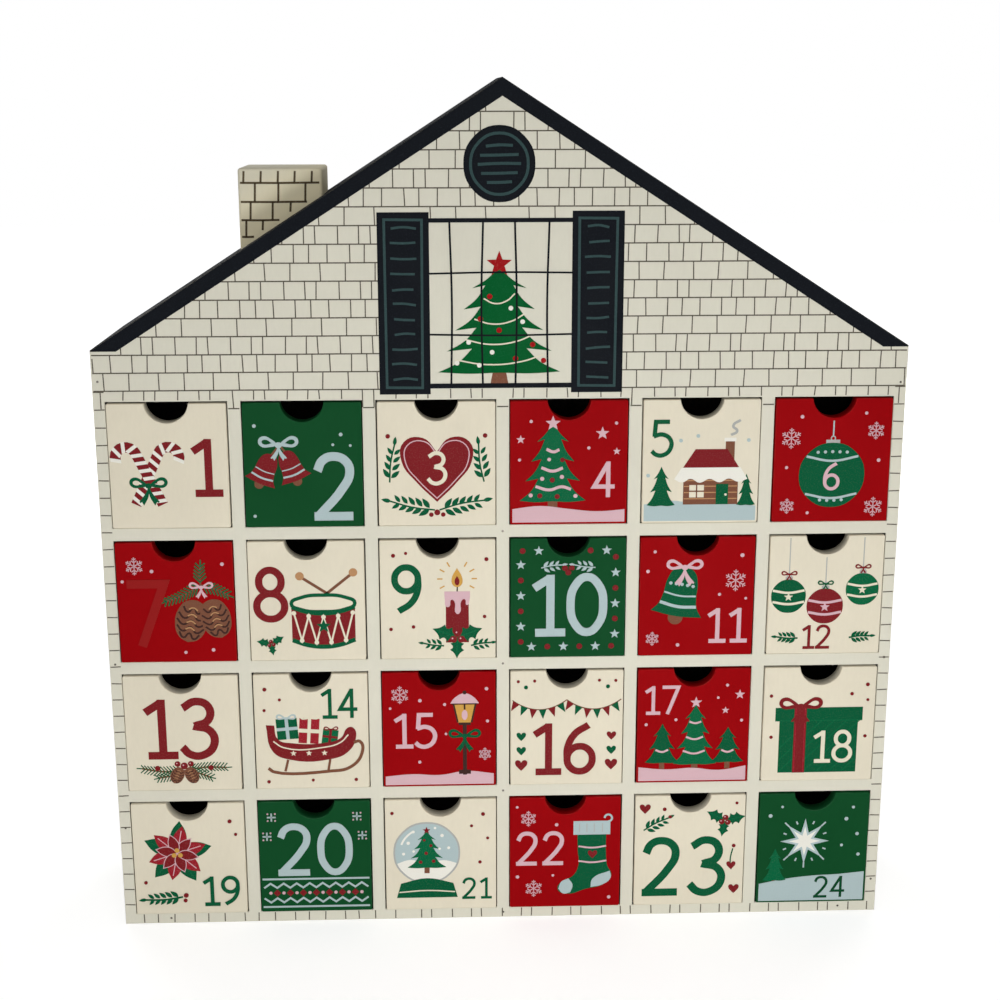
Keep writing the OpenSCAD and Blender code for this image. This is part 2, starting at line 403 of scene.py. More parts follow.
# Each ink's own colour, the ground in its pinholes, and how much of that shows
INK_MIXES = {
    "red": ((118, 28, 33), (205, 180, 160), 0.08),
    "scarlet": ((150, 18, 22), (205, 180, 160), 0.08),
    "rust": ((142, 29, 28), (150, 16, 20), 0.3),
    "rose": ((146, 28, 40), (215, 205, 190), 0.12),
    "green": ((2, 82, 50), (190, 196, 170), 0.08),
    "pine": ((14, 64, 36), (60, 110, 70), 0.16),
    "leaf": ((4, 93, 57), (190, 200, 180), 0.08),
    "fir": ((1, 83, 38), (60, 140, 100), 0.1),
    "frost": ((168, 185, 186), (110, 130, 130), 0.16),
    "blush": ((204, 170, 177), (200, 110, 110), 0.16),
    "white": ((226, 224, 214), (190, 180, 165), 0.2),
    "cream": ((219, 212, 190), (190, 180, 160), 0.2),
    "brown": ((116, 74, 56), (190, 160, 130), 0.16),
    "tan": ((176, 132, 92), (206, 180, 150), 0.2),
    "dark": ((58, 38, 34), (110, 90, 80), 0.2),
    "gold": ((196, 150, 72), (220, 196, 150), 0.2),
    "grey": ((166, 167, 163), (200, 200, 196), 0.2),
    "black": ((17, 20, 25), (46, 52, 58), 0.2),
    "teal": ((49, 70, 70), (90, 112, 114), 0.2),
    "brick": ((86, 80, 70), (200, 194, 176), 0.25),
    "chimney": ((84, 72, 54), (190, 180, 160), 0.2),
}
INKS = {name: ink(name, *mix) for name, mix in INK_MIXES.items()}
print("paints", list(PAINTS), "inks", len(INKS))

# %% [markdown]
# ## Boards as plates
# The face, the back and the drawer fronts are flat boards, sawn to an outline. A flat curve
# with holes in it, given a thickness and a small rounded corner all round, is the quickest
# way to such a board, because its corner runs round every opening and notch by itself. The
# curve lies down when it is drawn, so it is made a mesh first and then stood upright.

# %% Curves into meshes
SEAM = 0.0005


def new_curve(name):
    curve = bpy.data.curves.new(name, "CURVE")
    curve.dimensions = "2D"
    return curve


def add_spline(curve, points, smooth, closed, width=1):
    """Draws (x, y) points; a third value, 0, keeps a corner in a smooth line."""
    spline = curve.splines.new("BEZIER" if smooth else "POLY")
    knots = spline.bezier_points if smooth else spline.points
    knots.add(len(points) - 1)
    for knot, point in zip(knots, points):
        knot.radius = width
        if smooth:
            knot.co = (*point[:2], 0)
            knot.handle_left_type = knot.handle_right_type = "VECTOR" if len(point) > 2 else "AUTO"
        else:
            knot.co = (*point[:2], 0, 1)
    spline.use_cyclic_u = closed


def made_mesh(curve):
    """The curve as a mesh whose seams are sewn and whose faces point outwards."""
    holder = new_object(curve.name, curve)
    graph = bpy.context.evaluated_depsgraph_get()
    mesh = bpy.data.meshes.new_from_object(holder.evaluated_get(graph))
    bpy.data.objects.remove(holder)
    sewn = bmesh.new()
    sewn.from_mesh(mesh)
    bmesh.ops.remove_doubles(sewn, verts=sewn.verts, dist=SEAM)
    bmesh.ops.recalc_face_normals(sewn, faces=sewn.faces)
    sewn.to_mesh(mesh)
    sewn.free()
    mesh.materials.clear()
    return mesh


def stand_up(mesh, middle_y, x=0, z=0):
    """From a drawing that lies flat, in millimetres, to an upright piece in metres."""
    upright = Matrix.Translation((x, middle_y, z)) @ Matrix.Rotation(math.pi / 2, 4, "X")
    mesh.transform(Matrix.Scale(MM, 4) @ upright)


def arc(x, y, radius, start, end, steps):
    """Points of an arc, with its angles in degrees, anticlockwise from the right."""
    turns = [math.radians(start + (end - start) * step / steps) for step in range(steps + 1)]
    return [(x + radius * math.cos(turn), y + radius * math.sin(turn)) for turn in turns]


def corners(left, low, right, high):
    return [(left, low), (right, low), (right, high), (left, high)]


def put_in_scene(name, mesh, body, finishes):
    piece = new_object(name, mesh)
    for finish in finishes:
        mesh.materials.append(finish)
    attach(piece, body)
    return piece


def plate(name, outlines, front, back, bevel):
    curve = new_curve(name)
    curve.fill_mode = "BOTH"
    curve.extrude = (back - front) / 2 - bevel
    curve.bevel_depth = bevel
    curve.bevel_resolution = 1
    curve.offset = -bevel
    for outline in outlines:
        add_spline(curve, outline, False, True)
    mesh = made_mesh(curve)
    stand_up(mesh, (front + back) / 2)
    return mesh


print("plate maker ready")

# %% [markdown]
# ## The 24 drawer fronts
# Each front is a thick square board with a half-round finger notch in its upper edge. The
# notch could be cut out of a cube, but it is simpler to saw the board with the notch in its
# outline, since the rounded corner then follows it. The size is read from the drawing. The
# board stands 0.15 mm behind the drawn face, to leave room for the ink printed on it.

# %% Drawer fronts
INK_DEPTH = 0.15
FRONT_BEVEL = 0.35
FRONT_CORNER = 0.7
NOTCH_RADIUS = 9.5
NOTCH_RISE = 1
DRAWERS = range(1, 25)
GROUNDS = {"green": (2, 10, 20, 24), "red": (4, 6, 7, 11, 15, 17, 22)}


def edges_of(board):
    """The lowest and highest corner of a board in millimetres."""
    low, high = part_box(board)
    return low / MM, high / MM


def ground_of(drawer):
    return next((ground for ground, drawers in GROUNDS.items() if drawer in drawers), "cream")


def front_outline(low, high):
    """A board with rounded corners and a notch struck from just above its upper edge."""
    middle = (low.x + high.x) / 2
    left, right = low.x + FRONT_CORNER, high.x - FRONT_CORNER
    foot, top = low.z + FRONT_CORNER, high.z - FRONT_CORNER
    slip = math.degrees(math.asin(NOTCH_RISE / NOTCH_RADIUS))
    return (
        arc(left, foot, FRONT_CORNER, 180, 270, 4)
        + arc(right, foot, FRONT_CORNER, 270, 360, 4)
        + arc(right, top, FRONT_CORNER, 0, 90, 4)
        + arc(middle, high.z + NOTCH_RISE, NOTCH_RADIUS, -slip, slip - 180, 28)
        + arc(left, top, FRONT_CORNER, 90, 180, 4)
    )


drawer_middles = {}
for drawer in DRAWERS:
    body = f"drawer_{drawer:02d}"
    low, high = edges_of(f"{body}_front")
    ground = ground_of(drawer)
    name = f"{body}_front_board"
    board = plate(name, [front_outline(low, high)], low.y + INK_DEPTH, high.y, FRONT_BEVEL)
    piece = put_in_scene(name, board, body, [PAINTS[ground]])
    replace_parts(piece, f"{body}_front")
    drawer_middles[drawer] = ((low.x + high.x) / 2, (low.z + high.z) / 2, low.y + INK_DEPTH)
print("fronts", len(drawer_middles), "first", drawer_middles[1])

# %% [markdown]
# ## The face panel and the back panel
# The face is one board with 24 square openings. The brads that hold it are sunk a little
# below its surface in small holes, which show as dark dots. Along the gable its sawn edge
# is black like the roof. Paint has no thickness, so no second board is laid on for it: the
# paint of the face changes its colour by the distance from the slope.

# %% House paints
RIDGE = 380
EAVE = 268
HALF_WIDTH = 175
SLOPE = (RIDGE - EAVE) / HALF_WIDTH


def place_along(tree, axis):
    """A point's place along one axis, in millimetres; X counts outwards both ways."""
    place = add_node(tree, "TexCoord").outputs["Object"]
    part = add_node(tree, "SeparateXYZ", {0: place}).outputs[axis]
    place_in_mm = math_node(tree, "DIVIDE", part, MM)
    return math_node(tree, "ABSOLUTE", place_in_mm) if axis == "X" else place_in_mm


def between(tree, axis, low, high):
    """0 at the first place along an axis, 1 at the second."""
    return ramp(tree, place_along(tree, axis), low, high)


def below_slope(tree):
    """How far a point lies under the gable line, measured straight down."""
    line = math_node(tree, "MULTIPLY_ADD", place_along(tree, "X"), -SLOPE, RIDGE)
    return math_node(tree, "SUBTRACT", line, place_along(tree, "Z"))


def black_edge(tree):
    return ramp(tree, below_slope(tree), 0.45, 0.3)


def edge_and_painted_shade_in_openings(tree):
    """The black edge, and painted shade: from a millimetre inside the face's openings their walls are
    painted black, to deepen the gaps round the drawers.
    """
    # Painted shade: black on the walls of the openings, from a millimetre behind the face
    inside = times(tree, between(tree, "X", 173.5, 172), between(tree, "Z", 1.5, 3))
    painted_shade_on_wall = times(tree, between(tree, "Y", -36.8, -36.4), inside)
    return math_node(tree, "MAXIMUM", black_edge(tree), painted_shade_on_wall)


def two_paints(name, first, second, chooser):
    """A board paint that turns into a second colour where the chooser gives 1."""
    finish = board_paint(name, first, 0.2, wear=0.08)
    tree = finish.node_tree
    for label, share in (("Paint", 1), ("Shade", SHADE)):
        mixed = blend_colours(tree, chooser(tree), shade_of(first, share), shade_of(second, share))
        feed(tree, tree.nodes["coat"], {label: mixed})
    return finish


back_finish = two_paints("back_cream_black_edge", HOUSE_CREAM, BLACK, black_edge)
# The face's paint also holds painted shade, black inside its openings
face_finish = two_paints("face_cream_black_edge_painted_shade", HOUSE_CREAM, BLACK, edge_and_painted_shade_in_openings)
# The chimney's cream turns lighter and warmer towards its foot: painted light that offsets the shade the
# face board throws on its lower front
chimney_finish = two_paints(
    "chimney_cream_painted_light", swatch(212, 206, 184), swatch(236, 225, 190),
    lambda tree: ramp(tree, below_slope(tree), -26, -4),
)
print("house paints ready")

# %% Face and back boards
HOUSE_BEVEL = 0.25
BRAD_HOLE = 0.52
ROWS, COLUMNS = 4, 6
OPENING_WIDE, OPENING_HIGH = 52, 56
COLUMN_PITCH, ROW_PITCH = 57.6, 61.6
FIRST_LEFT, FIRST_TOP = -170, 245.8
RIM_BRADS = [
    (-172.5, 48.2), (-172.5, 127.3), (-172.5, 254.6), (172.5, 16.1), (172.5, 126), (172.5, 251.9),
    (-154, 2.5), (0, 2.5), (157.5, 2.5), (-22.75, 362.5), (-135.6, 290.2), (26.25, 360.2), (144.4, 284.6),
]
CROSS_BRADS = [(0, 187), (0, 125.4), (0, 63.8)]


def house_outline(low, high):
    return [(low.x, low.z), (high.x, low.z), (high.x, EAVE), (0, high.z), (low.x, EAVE)]


def house_board(drawn, name, finish, openings, brads):
    """A house-shaped board with its openings and the small holes over its brads."""
    low, high = edges_of(drawn)
    holes = [arc(x, z, BRAD_HOLE, 0, 330, 11) for x, z in brads]
    board = plate(name, [house_outline(low, high)] + openings + holes, low.y, high.y, HOUSE_BEVEL)
    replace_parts(put_in_scene(name, board, "house", [finish]), drawn)
    print(name, len(board.vertices), "points")


openings = []
for row in range(ROWS):
    for column in range(COLUMNS):
        left = FIRST_LEFT + COLUMN_PITCH * column
        top = FIRST_TOP - ROW_PITCH * row
        openings.append(corners(left, top - OPENING_HIGH, left + OPENING_WIDE, top))
house_board("face_panel", "face_board", face_finish, openings, RIM_BRADS + CROSS_BRADS)
house_board("back_panel", "back_board", back_finish, [], RIM_BRADS)

# %% [markdown]
# ## The chimney
# A solid block whose foot is sawn to the slope of the roof. One cut by a plane is all that
# it takes, and it leaves clean faces. A cube is scaled to the drawn size, cut by the roof's
# plane and closed at its foot. Then every edge but those of the foot is rounded.

# %% Chimney
CHIMNEY_ROUNDING = 1.4
ROOF_POINT = Vector((0, 0, RIDGE))
ROOF_NORMAL = Vector((-SLOPE, 0, 1)).normalized()

low, high = edges_of("chimney")
block = bmesh.new()
bmesh.ops.create_cube(block, size=1)
bmesh.ops.scale(block, vec=(high - low), verts=block.verts)
bmesh.ops.translate(block, vec=(low + high) / 2, verts=block.verts)
whole = block.verts[:] + block.edges[:] + block.faces[:]
bmesh.ops.bisect_plane(
    block, geom=whole, dist=0.0001, plane_co=ROOF_POINT, plane_no=ROOF_NORMAL, clear_inner=True
)
bmesh.ops.holes_fill(block, edges=block.edges)
foot = {corner for corner in block.verts if abs((corner.co - ROOF_POINT).dot(ROOF_NORMAL)) < 0.01}
free_edges = [edge for edge in block.edges if not foot.issuperset(edge.verts)]
bmesh.ops.bevel(
    block, geom=free_edges, offset=CHIMNEY_ROUNDING, offset_type="OFFSET", segments=5, profile=0.5,
    affect="EDGES", material=-1,
)
bmesh.ops.recalc_face_normals(block, faces=block.faces)
for side in block.faces:
    side.smooth = True
bmesh.ops.scale(block, vec=(MM, MM, MM), verts=block.verts)
chimney_mesh = bpy.data.meshes.new("chimney_block")
block.to_mesh(chimney_mesh)
block.free()
chimney_mesh.set_sharp_from_angle(angle=math.radians(50))
chimney = put_in_scene("chimney_block", chimney_mesh, "house", [chimney_finish])
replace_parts(chimney, "chimney")
print("chimney", [round(side / MM, 2) for side in chimney.dimensions])

# %% [markdown]
# ## Finishes for the boards that stay as drawn
# The sides, the floor, the roof, the dividers and the drawer boxes are right as they are and
# only need a finish. The crate and the boxes are stained nearly black, with their grain
# still showing. Grain runs along a board, so there is one stain for each way that the boards
# lie. The brads are of dull steel.

# %% Stain and steel
def stained(name, stretch):
    finish, tree, shader = start_finish(name)
    grain = ramp(tree, noise(tree, place_on_object(tree, stretch), 700, 5, 0.6), 0.35, 0.68)
    feed(tree, shader, {
        "Base Color": blend_colours(tree, grain, swatch(20, 16, 14), swatch(50, 39, 32)),
        "Roughness": math_node(tree, "MULTIPLY_ADD", grain, 0.2, 0.6),
        "Specular IOR Level": 0.25,
    })
    add_bump(tree, shader, grain, 0.4, 0.06)
    return finish


def brad_steel():
    finish, tree, shader = start_finish("brad_steel")
    tarnish = ramp(tree, noise(tree, place_on_object(tree), 900, 3), 0.35, 0.7)
    feed(tree, shader, {
        "Base Color": blend_colours(tree, tarnish, swatch(120, 116, 110), swatch(58, 50, 44)),
        "Roughness": math_node(tree, "MULTIPLY_ADD", tarnish, 0.3, 0.35),
        "Metallic": 0.9,
    })
    add_bump(tree, shader, tarnish, 0.3, 0.02)
    return finish


side_cream = two_paints(
    "side_cream_stained_inside", HOUSE_CREAM, STAIN, lambda tree: between(tree, "X", 174.1, 173.9)
)
floor_cream = two_paints(
    "floor_cream_stained_inside", HOUSE_CREAM, STAIN, lambda tree: between(tree, "Z", 0.4, 0.6)
)
box_stain = stained("dark_stain_along_depth", (1, 0.05, 1))
steel = brad_steel()
KEPT = {
    "left_side": side_cream, "right_side": side_cream, "floor_board": floor_cream,
    "roof_left": PAINTS["roof"], "roof_right": PAINTS["roof"],
    "uprights": stained("dark_stain_upright", (1, 1, 0.05)),
    "shelves": stained("dark_stain_along_width", (0.05, 1, 1)),
    "front_brads": steel, "back_brads": steel,
    **{f"drawer_{drawer:02d}_box": box_stain for drawer in DRAWERS},
}
for board, finish in KEPT.items():
    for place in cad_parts[board].material_slots:
        place.material = finish
print("finished", len(KEPT), "boards")

# %% [markdown]
# ## Printing
# The pictures are silk-screened: flat shapes of a few inks, laid one on the other. Pictures
# from a file would blur close up, so each ink shape is drawn as a flat curve and becomes a
# film with its foot just inside the board. The top of the next one lies a hair higher, so no
# two tops ever share a plane. A stroke is a curve too, with a square profile run along it.
# All the films of a drawer form one piece.

# %% The print bench
CURVE_STEPS = 5
FILM_FOOT = -0.03
FIRST_TOP_OF_INK = 0.03
NEXT_INK = 0.012
SAME_INK = 0.002

stroke_curve = new_curve("square_stroke")
add_spline(stroke_curve, corners(-0.5, -0.5, 0.5, 0.5), False, True)
square_stroke = new_object("square_stroke", stroke_curve)


class Print:
    """Ink films in millimetres about a middle, gathered into one piece."""

    def __init__(self):
        self.films = bmesh.new()
        self.inks = []
        self.last_ink = None
        self.top = FIRST_TOP_OF_INK

    def lay(self, ink_name, outlines, width=None, smooth=True):
        """One film: filled outlines, or lines of a given width."""
        curve = new_curve("film")
        curve.resolution_u = CURVE_STEPS
        if width is None:
            curve.fill_mode = "BOTH"
            curve.extrude = 0.5
        else:
            curve.bevel_mode = "OBJECT"
            curve.bevel_object = square_stroke
            curve.use_fill_caps = True
        for outline in outlines:
            meets = outline[0] == outline[-1]
            points = outline[:-1] if meets else outline
            add_spline(curve, points, smooth, meets or width is None, width or 1)
        film = made_mesh(curve)
        self.top += SAME_INK if ink_name == self.last_ink else NEXT_INK
        self.last_ink = ink_name
        if ink_name not in self.inks:
            self.inks.append(ink_name)
        for vertex in film.vertices:
            vertex.co.z = self.top if vertex.co.z > 0 else FILM_FOOT
        for polygon in film.polygons:
            polygon.material_index = self.inks.index(ink_name)
            polygon.use_smooth = False
        self.films.from_mesh(film)
        bpy.data.meshes.remove(film)

    def fill(self, ink_name, *outlines):
        """Shapes with round edges; cut makes the same with straight ones."""
        self.lay(ink_name, outlines)

    def cut(self, ink_name, *outlines):
        self.lay(ink_name, outlines, smooth=False)

    def stroke(self, ink_name, width, *paths):
        """Curved lines; rule makes the same with straight ones."""
        self.lay(ink_name, paths, width)

    def rule(self, ink_name, width, *paths):
        self.lay(ink_name, paths, width, smooth=False)

    def finish(self, name, body, slot, middle):
        mesh = bpy.data.meshes.new(name)
        self.films.to_mesh(mesh)
        self.films.free()
        x, z, surface = middle
        stand_up(mesh, surface, x, z)
        print(name, len(mesh.polygons), "faces")
        put_in_scene(name, mesh, body, [INKS[ink_name] for ink_name in self.inks])


print("print bench ready")

# %% Moving and common outlines
def moved(points, x, y=0, turn=0, size=1, flip=False):
    """An outline mirrored, scaled, turned and then put in its place."""
    cos, sin = math.cos(math.radians(turn)), math.sin(math.radians(turn))
    placed = []
    for point in points:
        px, py = point[0] * size * (-1 if flip else 1), point[1] * size
        placed.append((x + cos * px - sin * py, y + sin * px + cos * py, *point[2:]))
    return placed


def spot(point, *place):
    """One point, moved as an outline is."""
    return moved([point], *place)[0]


def mirrored(points):
    """The right half of an outline, made whole with its mirror image."""
    return points + [(-point[0], *point[1:]) for point in reversed(points) if abs(point[0]) > 0.01]


def looped(outline):
    return outline + outline[:1]


def oval(x, y, rx, ry=None):
    turns = [step * math.pi / 4 for step in range(8)]
    return [(x + rx * math.cos(turn), y + (ry or rx) * math.sin(turn)) for turn in turns]


def ring(x, y, rx, ry=None):
    return looped(oval(x, y, rx, ry))


def star(x, y, radius, points=5, inner=0.42):
    reaches = [radius * (inner if step % 2 else 1) for step in range(2 * points)]
    return [spot((reach, 0), x, y, 90 + step * 180 / points) for step, reach in enumerate(reaches)]


def box(x, y, wide, high, turn=0):
    return moved(corners(-wide / 2, -high / 2, wide / 2, high / 2), x, y, turn)


def walk(path, step):
    """A place every step along a path, with the direction there in degrees."""
    found, left = [], step / 2
    for start, end in zip(path, path[1:]):
        length = math.dist(start[:2], end[:2])
        turn = math.degrees(math.atan2(end[1] - start[1], end[0] - start[0]))
        while left <= length:
            share = left / length
            x = start[0] + (end[0] - start[0]) * share
            y = start[1] + (end[1] - start[1]) * share
            found.append((x, y, turn))
            left += step
        left -= length
    return found


print("a star has", len(star(0, 0, 1)), "corners")

# %% Numbers
# A digit is one unit high. A pen's width and the step to the next digit are shares of that.
LARGE_NUMBER = 20
BROAD_PEN, FINE_PEN = 0.132, 0.118
DIGIT_STEP, ONE_STEP = 0.74, 0.6
DIGITS = {
    "0": [ring(0.3, 0.5, 0.26, 0.46)],
    "1": [[(0.06, 0.78), (0.32, 0.95)], [(0.32, 1), (0.32, 0.03)], [(0.08, 0.04), (0.56, 0.04)]],
    "2": [[(0.05, 0.74), (0.13, 0.9), (0.3, 0.96), (0.48, 0.88), (0.53, 0.7), (0.42, 0.47), (0.05, 0.04)],
          [(-0.012, 0.04), (0.57, 0.04)]],
    "3": [[(0.06, 0.85), (0.27, 0.96), (0.47, 0.87), (0.46, 0.64), (0.24, 0.54)],
          [(0.22, 0.54), (0.49, 0.45), (0.54, 0.22), (0.36, 0.04), (0.16, 0.05), (0.03, 0.18)]],
    "4": [[(0.42, 0), (0.42, 1)], [(0.42, 0.97), (0.04, 0.3, 0), (0.6, 0.3)]],
    "5": [[(0.5, 0.96), (0.12, 0.96, 0), (0.09, 0.55)],
          [(0.07, 0.56), (0.3, 0.61), (0.52, 0.47), (0.53, 0.22), (0.34, 0.04), (0.14, 0.05), (0.02, 0.15)]],
    "6": [[(0.46, 0.96), (0.2, 0.78), (0.07, 0.5), (0.065, 0.28)], ring(0.3, 0.29, 0.235, 0.25)],
    "7": [[(0.02, 0.96), (0.56, 0.96, 0), (0.2, 0)]],
    "8": [ring(0.3, 0.74, 0.2, 0.22), ring(0.3, 0.28, 0.25, 0.24)],
    "9": [[(0.14, 0.04), (0.4, 0.22), (0.53, 0.5), (0.535, 0.72)], ring(0.3, 0.71, 0.235, 0.25)],
}


def number(page, ink_name, text, x, y, high):
    """Digits as strokes with square ends; the lower left corner of the first is at x, y."""
    width = high * (BROAD_PEN if high > LARGE_NUMBER else FINE_PEN)
    for digit in text:
        for path in DIGITS[digit]:
            page.stroke(ink_name, width, moved(path, x, y, 0, high))
        x += high * (ONE_STEP if digit == "1" else DIGIT_STEP)


print("digits", len(DIGITS))

# %% Snowflakes and dots
def snowflakes(page, *places):
    """Six arms with four twigs each, for every (x, y, radius)."""
    for x, y, radius in places:
        arms = []
        for turn in range(90, 450, 60):
            arms.append(moved([(0, 0), (radius, 0)], x, y, turn))
            for reach, twig in ((0.42, 0.3), (0.72, 0.2)):
                for side in (1, -1):
                    tip = (reach + twig * 0.75, side * twig)
                    arms.append(moved([(reach, 0), tip], x, y, turn, radius))
        page.rule("blush", 0.42, *arms)


def dots(page, ink_name, *places):
    page.fill(ink_name, *[oval(x, y, radius) for x, y, radius in places])


print("snow ready")

# %% Leaves and branches
LEAF = [(0, 0, 0), (2.4, 1.3), (3.2, 3.2, 0), (5, 2), (6.4, 3.3, 0), (7.8, 1.5), (10.5, 0, 0),
        (7.8, -1.5), (6.4, -3.3, 0), (5, -2), (3.2, -3.2, 0), (2.4, -1.3)]
OVAL_LEAF = [(0, 0, 0), (3, 1.9), (6.4, 1.7), (10, 0, 0), (6.4, -1.7), (3, -1.9)]


def holly(page, x, y, size, turn=0):
    """Three pointed leaves with a vein each, and berries where they meet."""
    page.fill("green", *[moved(LEAF, x, y, turn + angle, size) for angle in (20, 160)])
    page.fill("green", moved(LEAF, x, y, turn + 268, size * 0.85))
    veins = [moved([(1, 0), (8.5, 0)], x, y, turn + angle, size) for angle in (20, 160, 268)]
    page.stroke("leaf", 0.5 * size, *veins)
    berries = moved([(0, 1.6), (-1.6, -0.9), (1.6, -0.9)], x, y, turn, size)
    dots(page, "red", *[(bx, by, 1.42 * size) for bx, by in berries])
    dots(page, "blush", *[(bx - 0.4 * size, by + 0.4 * size, 0.32 * size) for bx, by in berries])


def sprig(page, ink_name, x, y, turn, length, pairs, leaf, width=0.7):
    """A stem with leaves in pairs, larger towards its foot."""
    page.stroke(ink_name, width, moved([(0, 0), (length * 0.5, length * 0.04), (length, 0)], x, y, turn))
    leaves = []
    for pair in range(pairs):
        share = 0.12 + 0.82 * pair / pairs
        for side in (1, -1):
            leaf_x, leaf_y = spot((length * share, 0.35 * side), x, y, turn)
            leaves.append(moved(OVAL_LEAF, leaf_x, leaf_y, turn + side * 42, leaf * (1.15 - 0.4 * share)))
    leaves.append(moved(OVAL_LEAF, *spot((length * 0.97, 0), x, y, turn), turn, leaf * 0.9))
    page.fill(ink_name, *leaves)


def sprig_pair(page, ink_name, x, y, turn, *form):
    """A sprig on the left and the same one, mirrored, on the right."""
    sprig(page, ink_name, -x, y, 180 - turn, *form)
    sprig(page, ink_name, x, y, turn, *form)


def pine_branch(page, ink_name, x, y, turn, length, needle, width=0.5, step=1.5):
    page.stroke("brown", 0.8, moved([(0, 0), (length * 0.5, length * 0.05), (length, 0)], x, y, turn))
    needles = []
    for index in range(int(length / step)):
        out = (index + 0.8) * step
        reach = needle * (1.05 - 0.35 * out / length)
        lift = 0.2 * out * (1 - out / length)
        for side in (1, -1):
            tip = (out + reach * 0.72, lift + side * reach * 0.74)
            needles.append(moved([(out, lift), tip], x, y, turn))
    needles.append(moved([(length, 0), (length + needle * 0.7, 0)], x, y, turn))
    page.rule(ink_name, width, *needles)


print("leaves", len(LEAF), len(OVAL_LEAF))

# %% [markdown]
# A bow, a fir, a heart and a bell are the same on the left as on the right, so only one half
# of each is written down, and a helper mirrors it.

# %% Bows and firs
BOW_LOOP = [(0, 0, 0), (-2.6, 2.4), (-6.4, 4), (-8.6, 2.2), (-7.6, -0.4), (-3.6, -0.8)]
BOW_EYE = [(-2.8, 0.9, 0), (-5.6, 2.5), (-7.1, 1.7), (-6.4, 0.5)]
BOW_TAIL = [(0, 0, 0), (-1.4, -3.2), (-4.6, -7.4, 0), (-4.2, -8, 0), (-3.4, -7.6, 0), (-2.5, -9.2, 0),
            (-0.2, -4.6)]


def bow(page, ink_name, x, y, size, tail=1):
    for flip in (False, True):
        page.fill(ink_name, moved(BOW_LOOP, x, y, 0, size, flip), moved(BOW_EYE, x, y, 0, size, flip))
        if tail:
            page.fill(ink_name, moved(BOW_TAIL, x, y, 0, size * tail, flip))
    page.fill(ink_name, oval(x, y, 1.5 * size, 1.3 * size))


def fir_outline(x, y, wide, high, tiers):
    """A fir in straight tiers, from its tip down the right side and up the left."""
    right = [(0, high, 0)]
    step = high / tiers
    for tier in range(1, tiers + 1):
        reach = wide / 2 * (0.3 + 0.7 * tier / tiers)
        low = high - step * tier
        tip_x, tip_y = right[-1][:2]
        right.append(((tip_x + reach) * 0.46, (tip_y + low) * 0.5 - step * 0.06))
        right.append((reach, low + step * 0.02, 0))
        if tier < tiers:
            right.append((reach * 0.52, low + step * 0.15, 0))
        else:
            right += [(reach * 0.5, low - step * 0.06), (0, low - step * 0.02)]
    return moved(mirrored(right), x, y)


print("a fir in four tiers has", len(fir_outline(0, 0, 1, 1, 4)), "corners")

# %% Hearts, baubles and bells
def heart(x, y, size):
    right = [(0, 2.6, 0), (1.9, 4.6), (4.6, 4), (4.9, 1.2), (2.8, -1.8), (0, -4.6, 0)]
    return moved(mirrored(right), x, y, 0, size)


def bauble(page, ink_name, x, y, radius, band="cream", spread=0.34, wide=0.14):
    page.cut("grey", box(x, y + radius + 0.5, radius * 0.42, 1.6))
    page.stroke("grey", 0.5, ring(x, y + radius + 1.9, 0.9, 1))
    page.fill(ink_name, oval(x, y, radius))
    for side in (1, -1):
        level = y + radius * spread * side
        reach = radius * (math.sqrt(1 - spread ** 2) - 0.03)
        sagging = [(x - reach, level), (x, level - radius * 0.14), (x + reach, level)]
        page.stroke(band, radius * wide, sagging)


BELL_HALF = [(0, 10.6), (2.5, 9.8), (3.9, 7), (4.3, 3), (5, 0.2), (6.6, -2, 0), (0, -2.6)]


def bell(page, ink_name, x, y, size, turn):
    dots(page, "brown", (*spot((0, -2.9), x, y, turn, size), 1.9 * size))
    page.fill(ink_name, moved(mirrored(BELL_HALF), x, y, turn, size))
    page.stroke("frost", 0.8 * size, moved([(-4.7, 0.6), (0, 0), (4.7, 0.6)], x, y, turn, size))
    page.stroke("frost", 0.45 * size, moved([(-4.1, 3.4), (0, 2.9), (4.1, 3.4)], x, y, turn, size))


print("motif helpers ready")

# %% [markdown]
# ## The print on the house front
# Shingles first. They lie in level courses 7.71 mm high, and each course repeats one of
# three rhythms of upright joints. The rhythms follow each other up the gable, so one short
# rule draws them all. The band, the window, the shutters and the vent are laid over them.

# %% Where the shingles lie
COURSE = 7.71
FIRST_COURSE = 250.5
COURSES = 17
REPEAT = 23.25
# Where each rhythm starts, and the steps from there to its joints
RHYTHMS = [(74.35, (0, 4.7, 14.4)), (68.4, (0, 12.5)), (70.2, (0, 6.3, 13.9))]
LEFT_SHIFT = 5
BAND_APEX = 372.4
BAND_FOOT = 267.5
WALL_EDGE = HALF_WIDTH - 0.6
LINES_UNDER_RIDGE, JOINTS_UNDER_RIDGE = 3, 4
BAR_LINE = 242.6
OFF_OPENING = 0.2
# Short ticks run down both margins: the first one's height, their step and their inner ends
FIRST_TICK, TICK_STEP, TICKS = 250.1, 7.75, 32
TICK_END, LONG_TICK_END = 170.1, 168.9
# The left, lower, right and upper edge of each shutter
LEFT_SHUTTER = (-52.7, 248.2, -30.9, 325.3)
RIGHT_SHUTTER = (29.4, 248.6, 51.4, 325.7)
WINDOW_LEFT, WINDOW_RIGHT, WINDOW_TOP = LEFT_SHUTTER[2], RIGHT_SHUTTER[0], 322.8


def joint_places(rhythm, low, high, shift):
    """The upright joints of one rhythm between two places on a course."""
    start, steps = RHYTHMS[rhythm]
    first = math.floor((low - start) / REPEAT) - 1
    last = math.ceil((high - start) / REPEAT) + 1
    places = [start + shift + REPEAT * turn + step for turn in range(first, last) for step in steps]
    return sorted(place for place in places if low <= place <= high)


def reach_at(z):
    """How far a course line runs out from the middle, to the wall or the gable band."""
    under_band = (RIDGE - LINES_UNDER_RIDGE - z) / SLOPE
    return WALL_EDGE if z < BAND_FOOT else min(WALL_EDGE, under_band)


